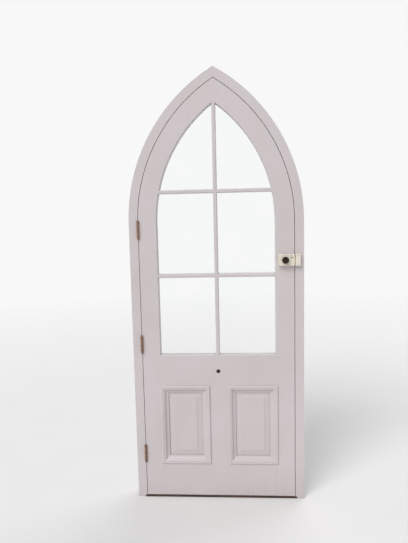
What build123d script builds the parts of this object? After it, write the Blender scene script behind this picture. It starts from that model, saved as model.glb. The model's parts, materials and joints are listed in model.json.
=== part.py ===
from build123d import *
from math import acos, cos, degrees, radians, sin, sqrt
import os

# An arched, part-glazed door leaf on three butt hinges in its rebated frame.
# X runs right as seen from the room, Y from the room to the outside, Z up, all in millimetres.
# The origin is on the underside of the threshold, in the middle of the frame's width and depth.
# A depth is a distance behind the room face, which frame and leaf share; before that face it is negative.

# Frame
FRAME_WIDTH = 970.0
FRAME_DEPTH = 95.0
FRAME_FACE = 50.0
STOP_WIDTH = 12.0
STOP_GAP = 2.0
REVEAL_CHAMFER = 6.0
THRESHOLD_HEIGHT = 12.0
THRESHOLD_HOUSING = 10.0
THRESHOLD_FALL = 5.0

# Arch: each side is an arc about a centre on the springing line, beyond the middle of the door
SPRING_HEIGHT = 1613.0
ARCH_CENTRE = 470.0
HEAD_JOINT_RISE = 70.0

# Leaf
LEAF_GAP = 3.0
LEAF_THICK = 44.0
STILE_WIDTH = 104.0
BOTTOM_RAIL = 203.0
LOCK_RAIL = 192.0
MUNTIN = 120.0
GLASS_SILL = 860.0

# Joints in the timber
TENON_THICK = 14.0
TENON_LENGTH = 80.0
TENON_SHOULDER = 15.0
STUB_LENGTH = 40.0
LOOSE_TENON_WIDTH = 40.0
LOOSE_TENON_REACH = 40.0
APEX_SHOULDER = 8.0
FRAME_TENON_WIDTH = 24.0
FRAME_TENON_THICK = 30.0

# Glazing
BAR_WIDTH = 21.0
BAR_STUB = 14.0
BAR_STUB_WIDTH = 10.0
BAR_STUB_DEPTH = 10.0
LOW_BAR_DROP = 299.0
HIGH_BAR_RISE = 169.0
OVOLO = 6.0
GLAZING_REBATE = 7.0
GLASS_THICK = 4.0
GLASS_CLEARANCE = 1.0
BEAD_DEPTH = 12.0
BEAD_CHAMFER = 4.0

# Panels
PANEL_TONGUE = 10.0
PANEL_GROOVE = 12.0
PANEL_MOVEMENT = 2.0
PANEL_MARGIN = 38.0
PANEL_BEVEL = 30.0
BEVEL_RISE = 5.0
FIELD_STEP = 2.0

# Bolection moulding, measured from the edge of the panel opening and from the face of the framing
MOULDING_LAP = 10.0
MOULDING_WIDTH = 36.0
MOULDING_PROUD = 8.0
MOULDING_NOSE = 5.0
MOULDING_FLAT = 5.0
MOULDING_QUIRK = 2.0
MOULDING_TORUS = 17.5
MOULDING_TORUS_BOW = 2.0
MOULDING_STEP = 1.5
MOULDING_COVE_BOW = 1.4
MOULDING_FOOT = 6.0
MOULDING_FILLET = 2.0

# Hinges
HINGE_COUNT = 3
HINGE_LOW = 272.0
HINGE_DROP = 37.0
HINGE_LENGTH = 102.0
HINGE_STANDOFF = 7.0
HINGE_PLATE = 2.5
HINGE_PLATE_WIDTH = 30.0
HINGE_PLATE_GAP = 0.5
KNUCKLE_COUNT = 3
KNUCKLE_RADIUS = 6.5
KNUCKLE_GAP = 0.3
PIN_RADIUS = 3.0
RUNNING_FIT = 0.05

# Rim night latch
LATCH_HEIGHT = 1397.5
CASE_WIDTH = 89.0
CASE_HEIGHT = 65.0
CASE_DEPTH = 28.0
CASE_WALL = 2.5
CASE_CORNER = 5.0
CASE_EDGE = 2.0
BACKPLATE_THICK = 2.5
BACKPLATE_FIT = 0.3
LUG_INSET = 5.0
LUG_WIDTH = 10.0
LUG_HEIGHT = 8.0
LUG_DEPTH = 6.0
KNOB_BACKSET = 52.0
KNOB_TURN = 60.0
KNOB_RADIUS = 19.0
KNOB_HEIGHT = 15.0
KNOB_RIM = 7.0
KNOB_BEVEL = 3.0
KNOB_NECK = 9.0
KNOB_NECK_RADIUS = 8.0
KNOB_GAP = 0.3
SPINDLE_RADIUS = 6.0
BOLT_THROW = 16.0
BOLT_HEIGHT = 28.0
BOLT_THICK = 12.0
BOLT_NOSE = 3.0
BOLT_LENGTH = 38.0
BOLT_FIT = 0.4
LATCH_FLOOR = 4.5
TAIL_THICK = 3.5
TAIL_LENGTH = 42.0
TAIL_DROP = 9.5
TAIL_RISE = 22.0
CAM_THICK = 9.0
CAM_CLEARANCE = 1.0
CAM_BORE = 4.0
CAM_RADIUS = 9.0
FINGER_RADIUS = 2.2
FINGER_FIT = 0.5
SPRING_STRIP = 0.8
SPRING_WIDTH = 3.0
SPRING_SET = 2.0
SPRING_DROP = 36.0
SNIB_TRAVEL = 6.0
SNIB_SETBACK = 17.0
SNIB_WIDTH = 6.0
SNIB_BUTTON = 10.0
SNIB_CORNER = 1.6
SNIB_PROUD = 3.5
SNIB_FIT = 0.4
SNIB_REACH = 4.0
SNIB_FLOOR = 1.0
SNIB_FLANGE = 1.5
SNIB_FLANGE_THICK = 2.2

# Rim cylinder
BARREL_RADIUS = 15.0
BARREL_LENGTH = 38.0
BARREL_FIT = 0.3
BARREL_PROUD = 4.0
RING_RADIUS = 23.0
RING_THICK = 3.0
RING_EDGE = 1.0
RING_LIP = 2.0
PLUG_RADIUS = 6.5
PLUG_LENGTH = 28.0
KEYWAY_WIDTH = 1.6
KEYWAY_HEIGHT = 8.0
KEYWAY_DEPTH = 8.0
TAIL_BAR_HALF = 4.5
TAIL_BAR_THICK = 1.6
TAIL_BAR_HOLE = 5.5
POCKET_RADIUS = 5.0
POCKET_DEPTH = 4.0
POCKET_LUG = 1.8
POCKET_LUG_THICK = 1.4
TAIL_BAR_GRIP = 3.0

# Keep
KEEP_GAP = 1.0
KEEP_WIDTH = 27.5
KEEP_DEPTH = 26.0
KEEP_POCKET = 20.0
KEEP_FIT = 0.75
KEEP_LIP = 5.0
KEEP_EDGE = 3.0

# Pull knob outside, in the middle of the lock rail, and its nut on the room side
PULL_ROSE_RADIUS = 32.0
PULL_ROSE_THICK = 5.0
PULL_NECK_RADIUS = 11.0
PULL_NECK = 16.0
PULL_KNOB_RADIUS = 30.0
PULL_KNOB_HEIGHT = 28.0
PULL_KNOB_BULGE = 15.0
PULL_KNOB_FACE = 19.0
STUD_RADIUS = 5.0
STUD_FIT = 0.1
NUT_RADIUS = 11.0
NUT_HEIGHT = 5.0
NUT_EDGE = 2.0
NUT_CROWN = 6.0
NUT_SEAT = 2.6

# Fixings of the jambs to the masonry, hidden behind the edges of the closed leaf
FIXING_RADIUS = 4.0
FIXING_DEPTH = 22.0
FIXING_HEIGHTS = (300.0, 1300.0)

# Places that follow from the sizes above
FRAME_HALF = FRAME_WIDTH / 2
REBATE_HALF = FRAME_HALF - FRAME_FACE
STOP_HALF = REBATE_HALF - STOP_WIDTH
STOP_DEPTH = LEAF_THICK + STOP_GAP
LEAF_HALF = REBATE_HALF - LEAF_GAP
LEAF_FOOT = THRESHOLD_HEIGHT + LEAF_GAP
GLASS_HALF = LEAF_HALF - STILE_WIDTH
HEAD_JOINT = SPRING_HEIGHT + HEAD_JOINT_RISE
PANEL_FOOT = LEAF_FOOT + BOTTOM_RAIL
PANEL_TOP = GLASS_SILL - LOCK_RAIL
TENON_NEAR = (LEAF_THICK - TENON_THICK) / 2
TENON_FAR = TENON_NEAR + TENON_THICK
PANEL_NEAR = (LEAF_THICK - PANEL_TONGUE) / 2
PULL_HEIGHT = GLASS_SILL - LOCK_RAIL / 2
LOW_BAR = SPRING_HEIGHT - LOW_BAR_DROP
HIGH_BAR = SPRING_HEIGHT + HIGH_BAR_RISE
GLASS_FAR = LEAF_THICK - BEAD_DEPTH
GLASS_NEAR = GLASS_FAR - GLASS_THICK
BAR_HALF = BAR_WIDTH / 2
WEB_HALF = BAR_HALF - GLAZING_REBATE
HINGE_X = -(REBATE_HALF + LEAF_HALF) / 2
HINGE_SPACING = (SPRING_HEIGHT - HINGE_DROP - HINGE_LOW) / (HINGE_COUNT - 1)
HINGE_HEIGHTS = {
    name: HINGE_LOW + HINGE_SPACING * i
    for i, name in zip(range(HINGE_COUNT), ("low", "middle", "high"))
}
KNOB_X = LEAF_HALF - KNOB_BACKSET
CASE_LEFT = LEAF_HALF - CASE_WIDTH
CASE_LOW = LATCH_HEIGHT - CASE_HEIGHT / 2
CASE_HIGH = LATCH_HEIGHT + CASE_HEIGHT / 2
BOLT_TIP = LEAF_HALF + BOLT_THROW
BOLT_SHOULDER = BOLT_TIP - BOLT_LENGTH
BOLT_FRONT = LATCH_FLOOR + BOLT_THICK
TAIL_FRONT = LATCH_FLOOR + TAIL_THICK
TAIL_END = BOLT_SHOULDER - TAIL_LENGTH
CAM_BACK = TAIL_FRONT + CAM_CLEARANCE
CAM_FRONT = CAM_BACK + CAM_THICK
SPINDLE_END = CAM_FRONT - CAM_BORE
CAM_REACH = BOLT_THROW / (2 * sin(radians(KNOB_TURN / 2)))
SNIB_X = LEAF_HALF - SNIB_SETBACK
KEEP_LEFT = REBATE_HALF + KEEP_GAP
KEEP_RIGHT = KEEP_LEFT + KEEP_WIDTH
PANES = {
    "low": (GLASS_SILL, LOW_BAR - BAR_HALF),
    "middle": (LOW_BAR + BAR_HALF, HIGH_BAR - BAR_HALF),
    "top": (HIGH_BAR + BAR_HALF, SPRING_HEIGHT + ARCH_CENTRE + GLASS_HALF),
}
SIDES = {"left": -1, "right": 1}


def y_at(depth):
    """Y of a point at this depth behind the room face."""
    return depth - FRAME_DEPTH / 2


def slab(outline, near, far):
    """A solid of an outline drawn across the doorway, between two depths."""
    return extrude(Plane.XZ.offset(-y_at(near)) * outline, amount=near - far)


def rect(x0, z0, x1, z1):
    """A rectangle across the doorway."""
    return Pos((x0 + x1) / 2, (z0 + z1) / 2) * Rectangle(abs(x1 - x0), abs(z1 - z0))


def block(x0, z0, x1, z1, near, far):
    """A box between two depths."""
    return slab(rect(x0, z0, x1, z1), near, far)


def rod(radius, start, end):
    """A round bar from one point to another."""
    along = Vector(*end) - Vector(*start)
    return extrude(Plane(origin=start, z_dir=along) * Circle(radius), amount=along.length)


def turned(points, x, z, depth, toward):
    """A turned piece from (radius, distance) points along Y, to the room at -1 and to the outside at +1."""
    profile = make_face(Polyline(*points, close=True))
    lathe = Plane(origin=(x, y_at(depth), z), x_dir=(1, 0, 0), z_dir=(0, 0, toward))
    return revolve(lathe * profile, Axis((x, y_at(depth), z), (0, 1, 0)))


def cut(piece, tools):
    """A piece with a list of solids taken out of it."""
    for tool in tools:
        piece -= tool
    return piece


def arch_rise(half, x):
    """Height of an arched outline at a distance x from the middle of the door."""
    return SPRING_HEIGHT + sqrt((ARCH_CENTRE + half) ** 2 - (ARCH_CENTRE + abs(x)) ** 2)


def arch_reach(half, z):
    """Half width of an arched outline at a height."""
    above = max(z - SPRING_HEIGHT, 0)
    return sqrt((ARCH_CENTRE + half) ** 2 - above**2) - ARCH_CENTRE


def arch(half, foot):
    """Outline with straight sides up to the springing line and two arcs that meet in a point."""
    radius = ARCH_CENTRE + half
    sweep_angle = degrees(acos(ARCH_CENTRE / radius))
    edges = [
        Line((-half, foot), (half, foot)),
        Line((half, foot), (half, SPRING_HEIGHT)),
        CenterArc((-ARCH_CENTRE, SPRING_HEIGHT), radius, 0, sweep_angle),
        CenterArc((ARCH_CENTRE, SPRING_HEIGHT), radius, 180, -sweep_angle),
        Line((-half, SPRING_HEIGHT), (-half, foot)),
    ]
    return make_face(edges)


def pane_outline(side, row, grow=0.0):
    """Sight outline of one pane, or what lies a distance outside it."""
    low, high = PANES[row]
    inner, outer = SIDES[side] * (BAR_HALF - grow), SIDES[side] * (FRAME_HALF + grow)
    cell = rect(inner, low - grow, outer, high + grow)
    return arch(GLASS_HALF + grow, GLASS_SILL - grow) & cell


def panel_opening(side, grow=0.0):
    """Corners x0, z0, x1, z1 of a panel's opening in the framing, or what lies a distance outside it."""
    x0, x1 = sorted((SIDES[side] * MUNTIN / 2, SIDES[side] * GLASS_HALF))
    return x0 - grow, PANEL_FOOT - grow, x1 + grow, PANEL_TOP + grow


# Frame


def frame_tenons():
    """Loose tenons of the frame: one across each springing joint, one across the apex joint."""
    middle = (FRAME_HALF + REBATE_HALF) / 2
    near = (STOP_DEPTH - FRAME_TENON_THICK) / 2
    far = near + FRAME_TENON_THICK
    half = FRAME_TENON_WIDTH / 2
    low, high = HEAD_JOINT - LOOSE_TENON_REACH, HEAD_JOINT + LOOSE_TENON_REACH
    sides = [
        block(x - half, low, x + half, high, near, far)
        for x in (-middle, middle)
    ]
    foot = arch_rise(REBATE_HALF, 0) + APEX_SHOULDER
    top = arch_rise(FRAME_HALF, LOOSE_TENON_REACH) - APEX_SHOULDER
    return sides + [block(-LOOSE_TENON_REACH, foot, LOOSE_TENON_REACH, top, near, far)]


def threshold():
    """Hardwood strip between the jambs, housed into their feet, falling to the outside behind the leaf."""
    end = REBATE_HALF + THRESHOLD_HOUSING
    near, stop, far = y_at(0), y_at(STOP_DEPTH), y_at(FRAME_DEPTH)
    points = (
        (near, 0),
        (far, 0),
        (far, THRESHOLD_HEIGHT - THRESHOLD_FALL),
        (stop, THRESHOLD_HEIGHT),
        (near, THRESHOLD_HEIGHT),
    )
    section = make_face(Polyline(*points, close=True))
    return extrude(Plane.YZ.offset(-end) * section, amount=2 * end)


def frame_blank():
    """Both jambs and the arched head as one rebated shape."""
    outer = arch(FRAME_HALF, 0)
    below = -THRESHOLD_HEIGHT
    rebate_part = slab(outer - arch(REBATE_HALF, below), 0, STOP_DEPTH)
    stop_part = slab(outer - arch(STOP_HALF, below), STOP_DEPTH, FRAME_DEPTH)
    blank = rebate_part + stop_part
    reveal = [
        edge
        for edge in blank.edges().filter_by_position(Axis.Y, y_at(FRAME_DEPTH), y_at(FRAME_DEPTH))
        if abs(edge.center().X) < STOP_HALF + 1 and edge.center().Z > 1
        and edge.center().Z < arch_rise(STOP_HALF, edge.center().X) + 1
    ]
    return chamfer(reveal, REVEAL_CHAMFER)


def fixing_holes(side):
    """Holes across one jamb, in the rebate."""
    inner, outer = SIDES[side] * REBATE_HALF, SIDES[side] * FRAME_HALF
    y = y_at(FIXING_DEPTH)
    return [rod(FIXING_RADIUS, (inner, y, z), (outer, y, z)) for z in FIXING_HEIGHTS]


def frame_pieces():
    """Jambs, head pieces, threshold and loose tenons of the frame."""
    strip = threshold()
    tenons = frame_tenons()
    blank = cut(frame_blank(), [strip] + tenons)
    top = arch_rise(FRAME_HALF, 0)
    pieces = {"threshold": strip, "frame_tenons": tenons}
    for side, across in SIDES.items():
        edge = across * FRAME_HALF
        pieces["jamb_" + side] = blank & block(0, 0, edge, HEAD_JOINT, 0, FRAME_DEPTH)
        pieces["head_" + side] = blank & block(0, HEAD_JOINT, edge, top, 0, FRAME_DEPTH)
        pieces["jamb_" + side] = cut(pieces["jamb_" + side], fixing_holes(side))
    pieces["jamb_left"] = cut(pieces["jamb_left"], hinge_seats(-1))
    return pieces


# Leaf


def leaf_blank():
    """The whole framing of the leaf as one shape, with its glazed and panelled openings."""
    blank = slab(arch(LEAF_HALF, LEAF_FOOT), 0, LEAF_THICK)
    for side in SIDES:
        for row in PANES:
            blank -= slab(pane_outline(side, row), 0, LEAF_THICK)
    face = blank.faces().sort_by(Axis.Y)[0]
    arrises = [edge for wire in face.inner_wires() for edge in wire.edges()]
    blank = fillet(arrises, OVOLO)
    for side in SIDES:
        for row in PANES:
            blank -= slab(pane_outline(side, row, GLAZING_REBATE), GLASS_NEAR, LEAF_THICK)
        blank -= block(*panel_opening(side), 0, LEAF_THICK)
        groove = panel_opening(side, PANEL_GROOVE)
        blank -= block(*groove, PANEL_NEAR, PANEL_NEAR + PANEL_TONGUE)
    return blank


def leaf_tenons():
    """Loose tenons of the leaf: one across each springing joint, one across the apex joint."""
    middle, half = (LEAF_HALF + GLASS_HALF) / 2, LOOSE_TENON_WIDTH / 2
    low, high = HEAD_JOINT - LOOSE_TENON_REACH, HEAD_JOINT + LOOSE_TENON_REACH
    sides = [
        block(x - half, low, x + half, high, TENON_NEAR, TENON_FAR)
        for x in (-middle, middle)
    ]
    foot = arch_rise(GLASS_HALF + GLAZING_REBATE, 0) + TENON_SHOULDER
    top = arch_rise(LEAF_HALF, LOOSE_TENON_REACH) - TENON_SHOULDER
    reach = LOOSE_TENON_REACH
    return sides + [block(-reach, foot, reach, top, TENON_NEAR, TENON_FAR)]


def rail_tenon(low, high):
    """Through the length of a rail, the tenon that reaches into both stiles."""
    reach = GLASS_HALF + TENON_LENGTH
    return block(-reach, low + TENON_SHOULDER, reach, high - TENON_SHOULDER, TENON_NEAR, TENON_FAR)


def muntin_tenon():
    """The stub tenons at both ends of the muntin, as one bar."""
    half = MUNTIN / 2 - TENON_SHOULDER
    return block(-half, PANEL_FOOT - STUB_LENGTH, half, PANEL_TOP + STUB_LENGTH, TENON_NEAR, TENON_FAR)


def bar_stub(z):
    """The stub tenons at both ends of a level glazing bar, as one bar."""
    reach, half = arch_reach(GLASS_HALF, z) + BAR_STUB, BAR_STUB_WIDTH / 2
    return block(-reach, z - half, reach, z + half, BAR_STUB_DEPTH, LEAF_THICK / 2)


def upright_stub():
    """The stub tenons at both ends of the upright glazing bar, as one bar."""
    half = BAR_STUB_WIDTH / 2
    top = arch_rise(GLASS_HALF, 0) + BAR_STUB
    return block(-half, GLASS_SILL - BAR_STUB, half, top, BAR_STUB_DEPTH, LEAF_THICK / 2)


def glazing_bars(blank):
    """The upright bar and the two level bars, halved over each other."""
    sight = slab(arch(GLASS_HALF, GLASS_SILL), 0, GLASS_NEAR)
    rebate = slab(arch(GLASS_HALF + GLAZING_REBATE, GLASS_SILL - GLAZING_REBATE), GLASS_NEAR, LEAF_THICK)
    within = sight + rebate
    bars = blank & within
    top = arch_rise(LEAF_HALF, 0)
    middle = LEAF_THICK / 2
    upright = bars & block(-BAR_HALF, LEAF_FOOT, BAR_HALF, top, 0, LEAF_THICK)
    upright += upright_stub()
    level = {}
    for z in (LOW_BAR, HIGH_BAR):
        upright -= block(-BAR_HALF, z - BAR_HALF, BAR_HALF, z + BAR_HALF, middle, GLASS_NEAR)
        upright -= block(-BAR_HALF, z - WEB_HALF, BAR_HALF, z + WEB_HALF, GLASS_NEAR, LEAF_THICK)
    for name, z in (("low", LOW_BAR), ("high", HIGH_BAR)):
        band = block(-LEAF_HALF, z - BAR_HALF, LEAF_HALF, z + BAR_HALF, 0, LEAF_THICK)
        level[name] = (bars & band) + bar_stub(z) - upright
    return within, upright, level


def leaf_pieces():
    """Every timber of the leaf, cut apart at its joints."""
    blank = leaf_blank()
    within, upright, level = glazing_bars(blank)
    framing = blank - within
    tenons = leaf_tenons()
    lock_tenon = rail_tenon(PANEL_TOP, GLASS_SILL)
    foot_tenon = rail_tenon(LEAF_FOOT, PANEL_FOOT)
    middle_tenon = muntin_tenon()
    middle_height = (GLASS_SILL + HEAD_JOINT) / 2
    top = arch_rise(LEAF_HALF, 0)
    pieces = {"leaf_tenons": tenons, "glazing_bar_upright": upright}
    for name, bar in level.items():
        pieces["glazing_bar_" + name] = bar
    stubs = [bar_stub(LOW_BAR), bar_stub(HIGH_BAR)]
    for side, across in SIDES.items():
        edge = across * LEAF_HALF
        stile_zone = block(across * GLASS_HALF, LEAF_FOOT, edge, middle_height, 0, LEAF_THICK)
        stile_zone += block(0, middle_height, edge, HEAD_JOINT, 0, LEAF_THICK)
        stile = cut(framing & stile_zone, [lock_tenon, foot_tenon] + stubs + tenons)
        head = framing & block(0, HEAD_JOINT, edge, top, 0, LEAF_THICK)
        pieces["stile_" + side] = stile
        pieces["head_rail_" + side] = cut(head, [upright_stub()] + stubs + tenons)
    lock_rail = framing & block(-GLASS_HALF, PANEL_TOP, GLASS_HALF, GLASS_SILL, 0, LEAF_THICK)
    pieces["lock_rail"] = cut(lock_rail + lock_tenon, [middle_tenon, upright_stub(), stud(STUD_FIT)])
    bottom_rail = framing & block(-GLASS_HALF, LEAF_FOOT, GLASS_HALF, PANEL_FOOT, 0, LEAF_THICK)
    pieces["bottom_rail"] = cut(bottom_rail + foot_tenon, [middle_tenon])
    muntin = framing & block(-MUNTIN / 2, PANEL_FOOT, MUNTIN / 2, PANEL_TOP, 0, LEAF_THICK)
    pieces["muntin"] = muntin + middle_tenon
    pieces["stile_left"] = cut(pieces["stile_left"], hinge_seats(1))
    pieces["stile_right"] -= on_axis(BARREL_RADIUS + BARREL_FIT, 0, LEAF_THICK)
    return pieces


def raised_face(side, base, toward):
    """The bevel and the raised field on one face of a panel."""
    x0, z0, x1, z1 = panel_opening(side, -PANEL_MARGIN)
    foot = Plane.XZ.offset(-y_at(base)) * rect(x0, z0, x1, z1)
    crest = base + toward * BEVEL_RISE
    x0, z0, x1, z1 = panel_opening(side, -PANEL_MARGIN - PANEL_BEVEL)
    top = Plane.XZ.offset(-y_at(crest)) * rect(x0, z0, x1, z1)
    bevel = loft([foot, top], ruled=True)
    near, far = sorted((crest, crest + toward * FIELD_STEP))
    return bevel + block(x0, z0, x1, z1, near, far)


def panel(side):
    """A panel, raised and fielded on both faces, with a tongue all round for the grooves."""
    edges = panel_opening(side, PANEL_GROOVE - PANEL_MOVEMENT)
    far = PANEL_NEAR + PANEL_TONGUE
    plate = block(*edges, PANEL_NEAR, far)
    return plate + raised_face(side, PANEL_NEAR, -1) + raised_face(side, far, 1)


def moulding_profile():
    """Section of the bolection moulding: x is inward over the panel, y is out from the framing's face."""
    back = -PANEL_NEAR
    foot = back + MOULDING_FOOT
    crest = MOULDING_PROUD - MOULDING_QUIRK
    turn = (crest + foot + MOULDING_STEP) / 2
    cove_end = MOULDING_WIDTH - MOULDING_FILLET
    lap_top = MOULDING_PROUD - MOULDING_NOSE
    edges = [
        Polyline((0, 0), (-MOULDING_LAP, 0), (-MOULDING_LAP, lap_top)),
        Line((-MOULDING_LAP, lap_top), (MOULDING_NOSE - MOULDING_LAP, MOULDING_PROUD)),
        Line((MOULDING_NOSE - MOULDING_LAP, MOULDING_PROUD), (MOULDING_FLAT, MOULDING_PROUD)),
        Line((MOULDING_FLAT, MOULDING_PROUD), (MOULDING_FLAT, crest)),
        SagittaArc((MOULDING_FLAT, crest), (MOULDING_TORUS, turn), MOULDING_TORUS_BOW),
        Line((MOULDING_TORUS, turn), (MOULDING_TORUS, turn - MOULDING_STEP)),
        SagittaArc((MOULDING_TORUS, turn - MOULDING_STEP), (cove_end, foot), -MOULDING_COVE_BOW),
        Polyline((cove_end, foot), (MOULDING_WIDTH, foot), (MOULDING_WIDTH, back), (0, back), (0, 0)),
    ]
    return make_face(edges)


def mitre_zone(corners, depths):
    """A prism over four corners, which trims one strip to its mitres."""
    return slab(make_face(Polyline(*corners, close=True)), *depths)


def panel_moulding(side, face_depth, toward):
    """Four mitred strips round one panel, on the room face at -1 and on the outside face at +1."""
    x0, z0, x1, z1 = panel_opening(side, MOULDING_LAP)
    width = MOULDING_LAP + MOULDING_WIDTH
    a, b, c, d = panel_opening(side, -MOULDING_WIDTH)
    outer = [(x0, z0), (x1, z0), (x1, z1), (x0, z1)]
    inner = [(a, b), (c, b), (c, d), (a, d)]
    inward = [(0, 0, 1), (-1, 0, 0), (0, 0, -1), (1, 0, 0)]
    ox0, oz0, ox1, oz1 = panel_opening(side)
    starts = [(ox0, oz0), (ox1, oz0), (ox1, oz1), (ox0, oz1)]
    depths = sorted((face_depth + toward * 2 * MOULDING_PROUD, face_depth - toward * LEAF_THICK / 2))
    strips = []
    for i in range(4):
        start, end = Vector(*starts[i]), Vector(*starts[(i + 1) % 4])
        run = end - start
        along = Vector(run.X, 0, run.Y).normalized()
        origin = Vector(start.X, y_at(face_depth), start.Y) - along * width
        length = run.length + 2 * width
        if toward > 0:
            origin, along = origin + along * length, -along
        plane = Plane(origin=origin, x_dir=inward[i], z_dir=along)
        strip = extrude(plane * moulding_profile(), amount=length)
        trim = [outer[i], outer[(i + 1) % 4], inner[(i + 1) % 4], inner[i]]
        strips.append(strip & mitre_zone(trim, depths))
    return strips


def pane_corners(side, row, grow):
    """The corners of a pane where its beads are mitred, from the foot at the bars round to the outer side."""
    low, high = PANES[row][0] - grow, PANES[row][1] + grow
    half, bar = GLASS_HALF + grow, BAR_HALF - grow
    across = SIDES[side]
    outer_foot = (across * arch_reach(half, low), low)
    bar_foot = (across * bar, low)
    if row == "top":
        return [outer_foot, bar_foot, (across * bar, arch_rise(half, bar))]
    return [outer_foot, bar_foot, (across * bar, high), (across * arch_reach(half, high), high)]


def pane_beads(side, row):
    """The mitred beads of one pane. The last one follows the stile and the arch."""
    ring = slab(pane_outline(side, row, GLAZING_REBATE) - pane_outline(side, row), GLASS_FAR, LEAF_THICK)
    back = ring.faces().sort_by(Axis.Y)[-1]
    arrises = [edge for wire in back.inner_wires() for edge in wire.edges()]
    ring = chamfer(arrises, BEAD_CHAMFER)
    outer, inner = pane_corners(side, row, GLAZING_REBATE), pane_corners(side, row, 0)
    beads = []
    for i in range(len(outer) - 1):
        zone = mitre_zone([outer[i], outer[i + 1], inner[i + 1], inner[i]], (GLASS_FAR, LEAF_THICK))
        beads.append(ring & zone)
        ring -= zone
    return beads + [ring]


def glazing_pieces():
    """Panes and beads."""
    pieces = {}
    for row in PANES:
        beads = []
        for side in SIDES:
            outline = pane_outline(side, row, GLAZING_REBATE - GLASS_CLEARANCE)
            pieces["pane_" + row + "_" + side] = slab(outline, GLASS_NEAR, GLASS_FAR)
            beads += pane_beads(side, row)
        pieces["glazing_beads_" + row] = beads
    return pieces


def panel_pieces():
    """Panels and the bolection mouldings on both faces."""
    pieces = {}
    for side in SIDES:
        pieces["panel_" + side] = panel(side)
        pieces["moulding_" + side + "_inside"] = panel_moulding(side, 0, -1)
        pieces["moulding_" + side + "_outside"] = panel_moulding(side, LEAF_THICK, 1)
    return pieces


# Hinges


def hinge_y():
    """Y of the hinge axis, before the room face."""
    return y_at(-HINGE_STANDOFF)


def plate_block(across, height, near):
    """The flat of one hinge plate from a depth on, for the jamb at -1 and for the leaf at +1."""
    inner = HINGE_X + across * HINGE_PLATE_GAP / 2
    outer = inner + across * HINGE_PLATE
    half = HINGE_LENGTH / 2
    return block(inner, height - half, outer, height + half, near, HINGE_PLATE_WIDTH)


def hinge_seats(across):
    """The recesses for the hinge plates in the jamb or in the stile."""
    return [plate_block(across, height, 0) for height in HINGE_HEIGHTS.values()]


def knuckle_spans(height):
    """Lowest and highest Z of each knuckle of one hinge."""
    pitch = (HINGE_LENGTH + KNUCKLE_GAP) / KNUCKLE_COUNT
    foot = height - HINGE_LENGTH / 2
    return [(foot + i * pitch, foot + (i + 1) * pitch - KNUCKLE_GAP) for i in range(KNUCKLE_COUNT)]


def upright_rod(radius, low, high):
    """A round bar on the hinge axis."""
    return rod(radius, (HINGE_X, hinge_y(), low), (HINGE_X, hinge_y(), high))


def hinge_plate(across, height):
    """The jamb's plate with its knuckles and the fixed pin at -1, or the leaf's with the others at +1."""
    plate = plate_block(across, height, -HINGE_STANDOFF)
    first = 0 if across < 0 else 1
    spans = knuckle_spans(height)
    for i, (low, high) in enumerate(spans):
        if i % 2 != first:
            plate -= upright_rod(KNUCKLE_RADIUS + KNUCKLE_GAP, low - KNUCKLE_GAP, high + KNUCKLE_GAP)
    for low, high in spans[first::2]:
        plate += upright_rod(KNUCKLE_RADIUS, low, high)
    if across < 0:
        return plate + upright_rod(PIN_RADIUS, spans[0][0], spans[-1][1])
    return plate - upright_rod(PIN_RADIUS + RUNNING_FIT, spans[0][0], spans[-1][1])


def hinge_pieces():
    """Three butt hinges, each of two plates."""
    pieces = {}
    for name, height in HINGE_HEIGHTS.items():
        pieces["hinge_plate_jamb_" + name] = hinge_plate(-1, height)
        pieces["hinge_plate_stile_" + name] = hinge_plate(1, height)
    return pieces


# Latch. Depths are negative here, because it stands on the room face.


def case_inside(fit=0.0):
    """Corners x0, z0, x1, z1 of the hollow of the latch case, less a fit all round."""
    wall = CASE_WALL + fit
    return CASE_LEFT + wall, CASE_LOW + wall, LEAF_HALF - wall, CASE_HIGH - wall


def on_axis(radius, near, far):
    """A round bar on the common axis of the knob and the cylinder, between two depths."""
    return rod(radius, (KNOB_X, y_at(near), LATCH_HEIGHT), (KNOB_X, y_at(far), LATCH_HEIGHT))


def latch_backplate():
    """Plate on the stile's face, with a hole for the tail bar and two lugs that hold the case."""
    x0, z0, x1, z1 = case_inside(BACKPLATE_FIT)
    plate = block(x0, z0, x1, z1, -BACKPLATE_THICK, 0)
    left = x0 + LUG_INSET
    for low, high in ((z0, z0 + LUG_DEPTH), (z1 - LUG_DEPTH, z1)):
        plate += block(left, low, left + LUG_WIDTH, high, -BACKPLATE_THICK - LUG_HEIGHT, 0)
    low, high = LATCH_HEIGHT - TAIL_BAR_HOLE, LATCH_HEIGHT + TAIL_BAR_HOLE
    return plate - block(KNOB_X - TAIL_BAR_HOLE, low, KNOB_X + TAIL_BAR_HOLE, high, -BACKPLATE_THICK, 0)


def latch_case():
    """Box with rounded corners, open to the stile, with openings for bolt, knob and snib."""
    case = block(CASE_LEFT, CASE_LOW, LEAF_HALF, CASE_HIGH, -CASE_DEPTH, 0)
    case = fillet(case.edges().filter_by(Axis.Y), CASE_CORNER)
    case = chamfer(case.faces().sort_by(Axis.Y)[0].edges(), CASE_EDGE)
    case -= block(*case_inside(), CASE_WALL - CASE_DEPTH, 0)
    half = BOLT_HEIGHT / 2 + BOLT_FIT
    mouth = (LEAF_HALF - 2 * CASE_WALL, LATCH_HEIGHT - half, BOLT_TIP, LATCH_HEIGHT + half)
    case -= block(*mouth, -BOLT_FRONT - BOLT_FIT, BOLT_FIT - LATCH_FLOOR)
    case -= on_axis(SPINDLE_RADIUS + RUNNING_FIT, -CASE_DEPTH, 0)
    foot, top = snib_span()
    half = SNIB_WIDTH / 2 + SNIB_FIT
    slot = (SNIB_X - half, foot - SNIB_TRAVEL - SNIB_FIT, SNIB_X + half, top + SNIB_FIT)
    return case - block(*slot, -CASE_DEPTH, -CASE_WALL)


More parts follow.
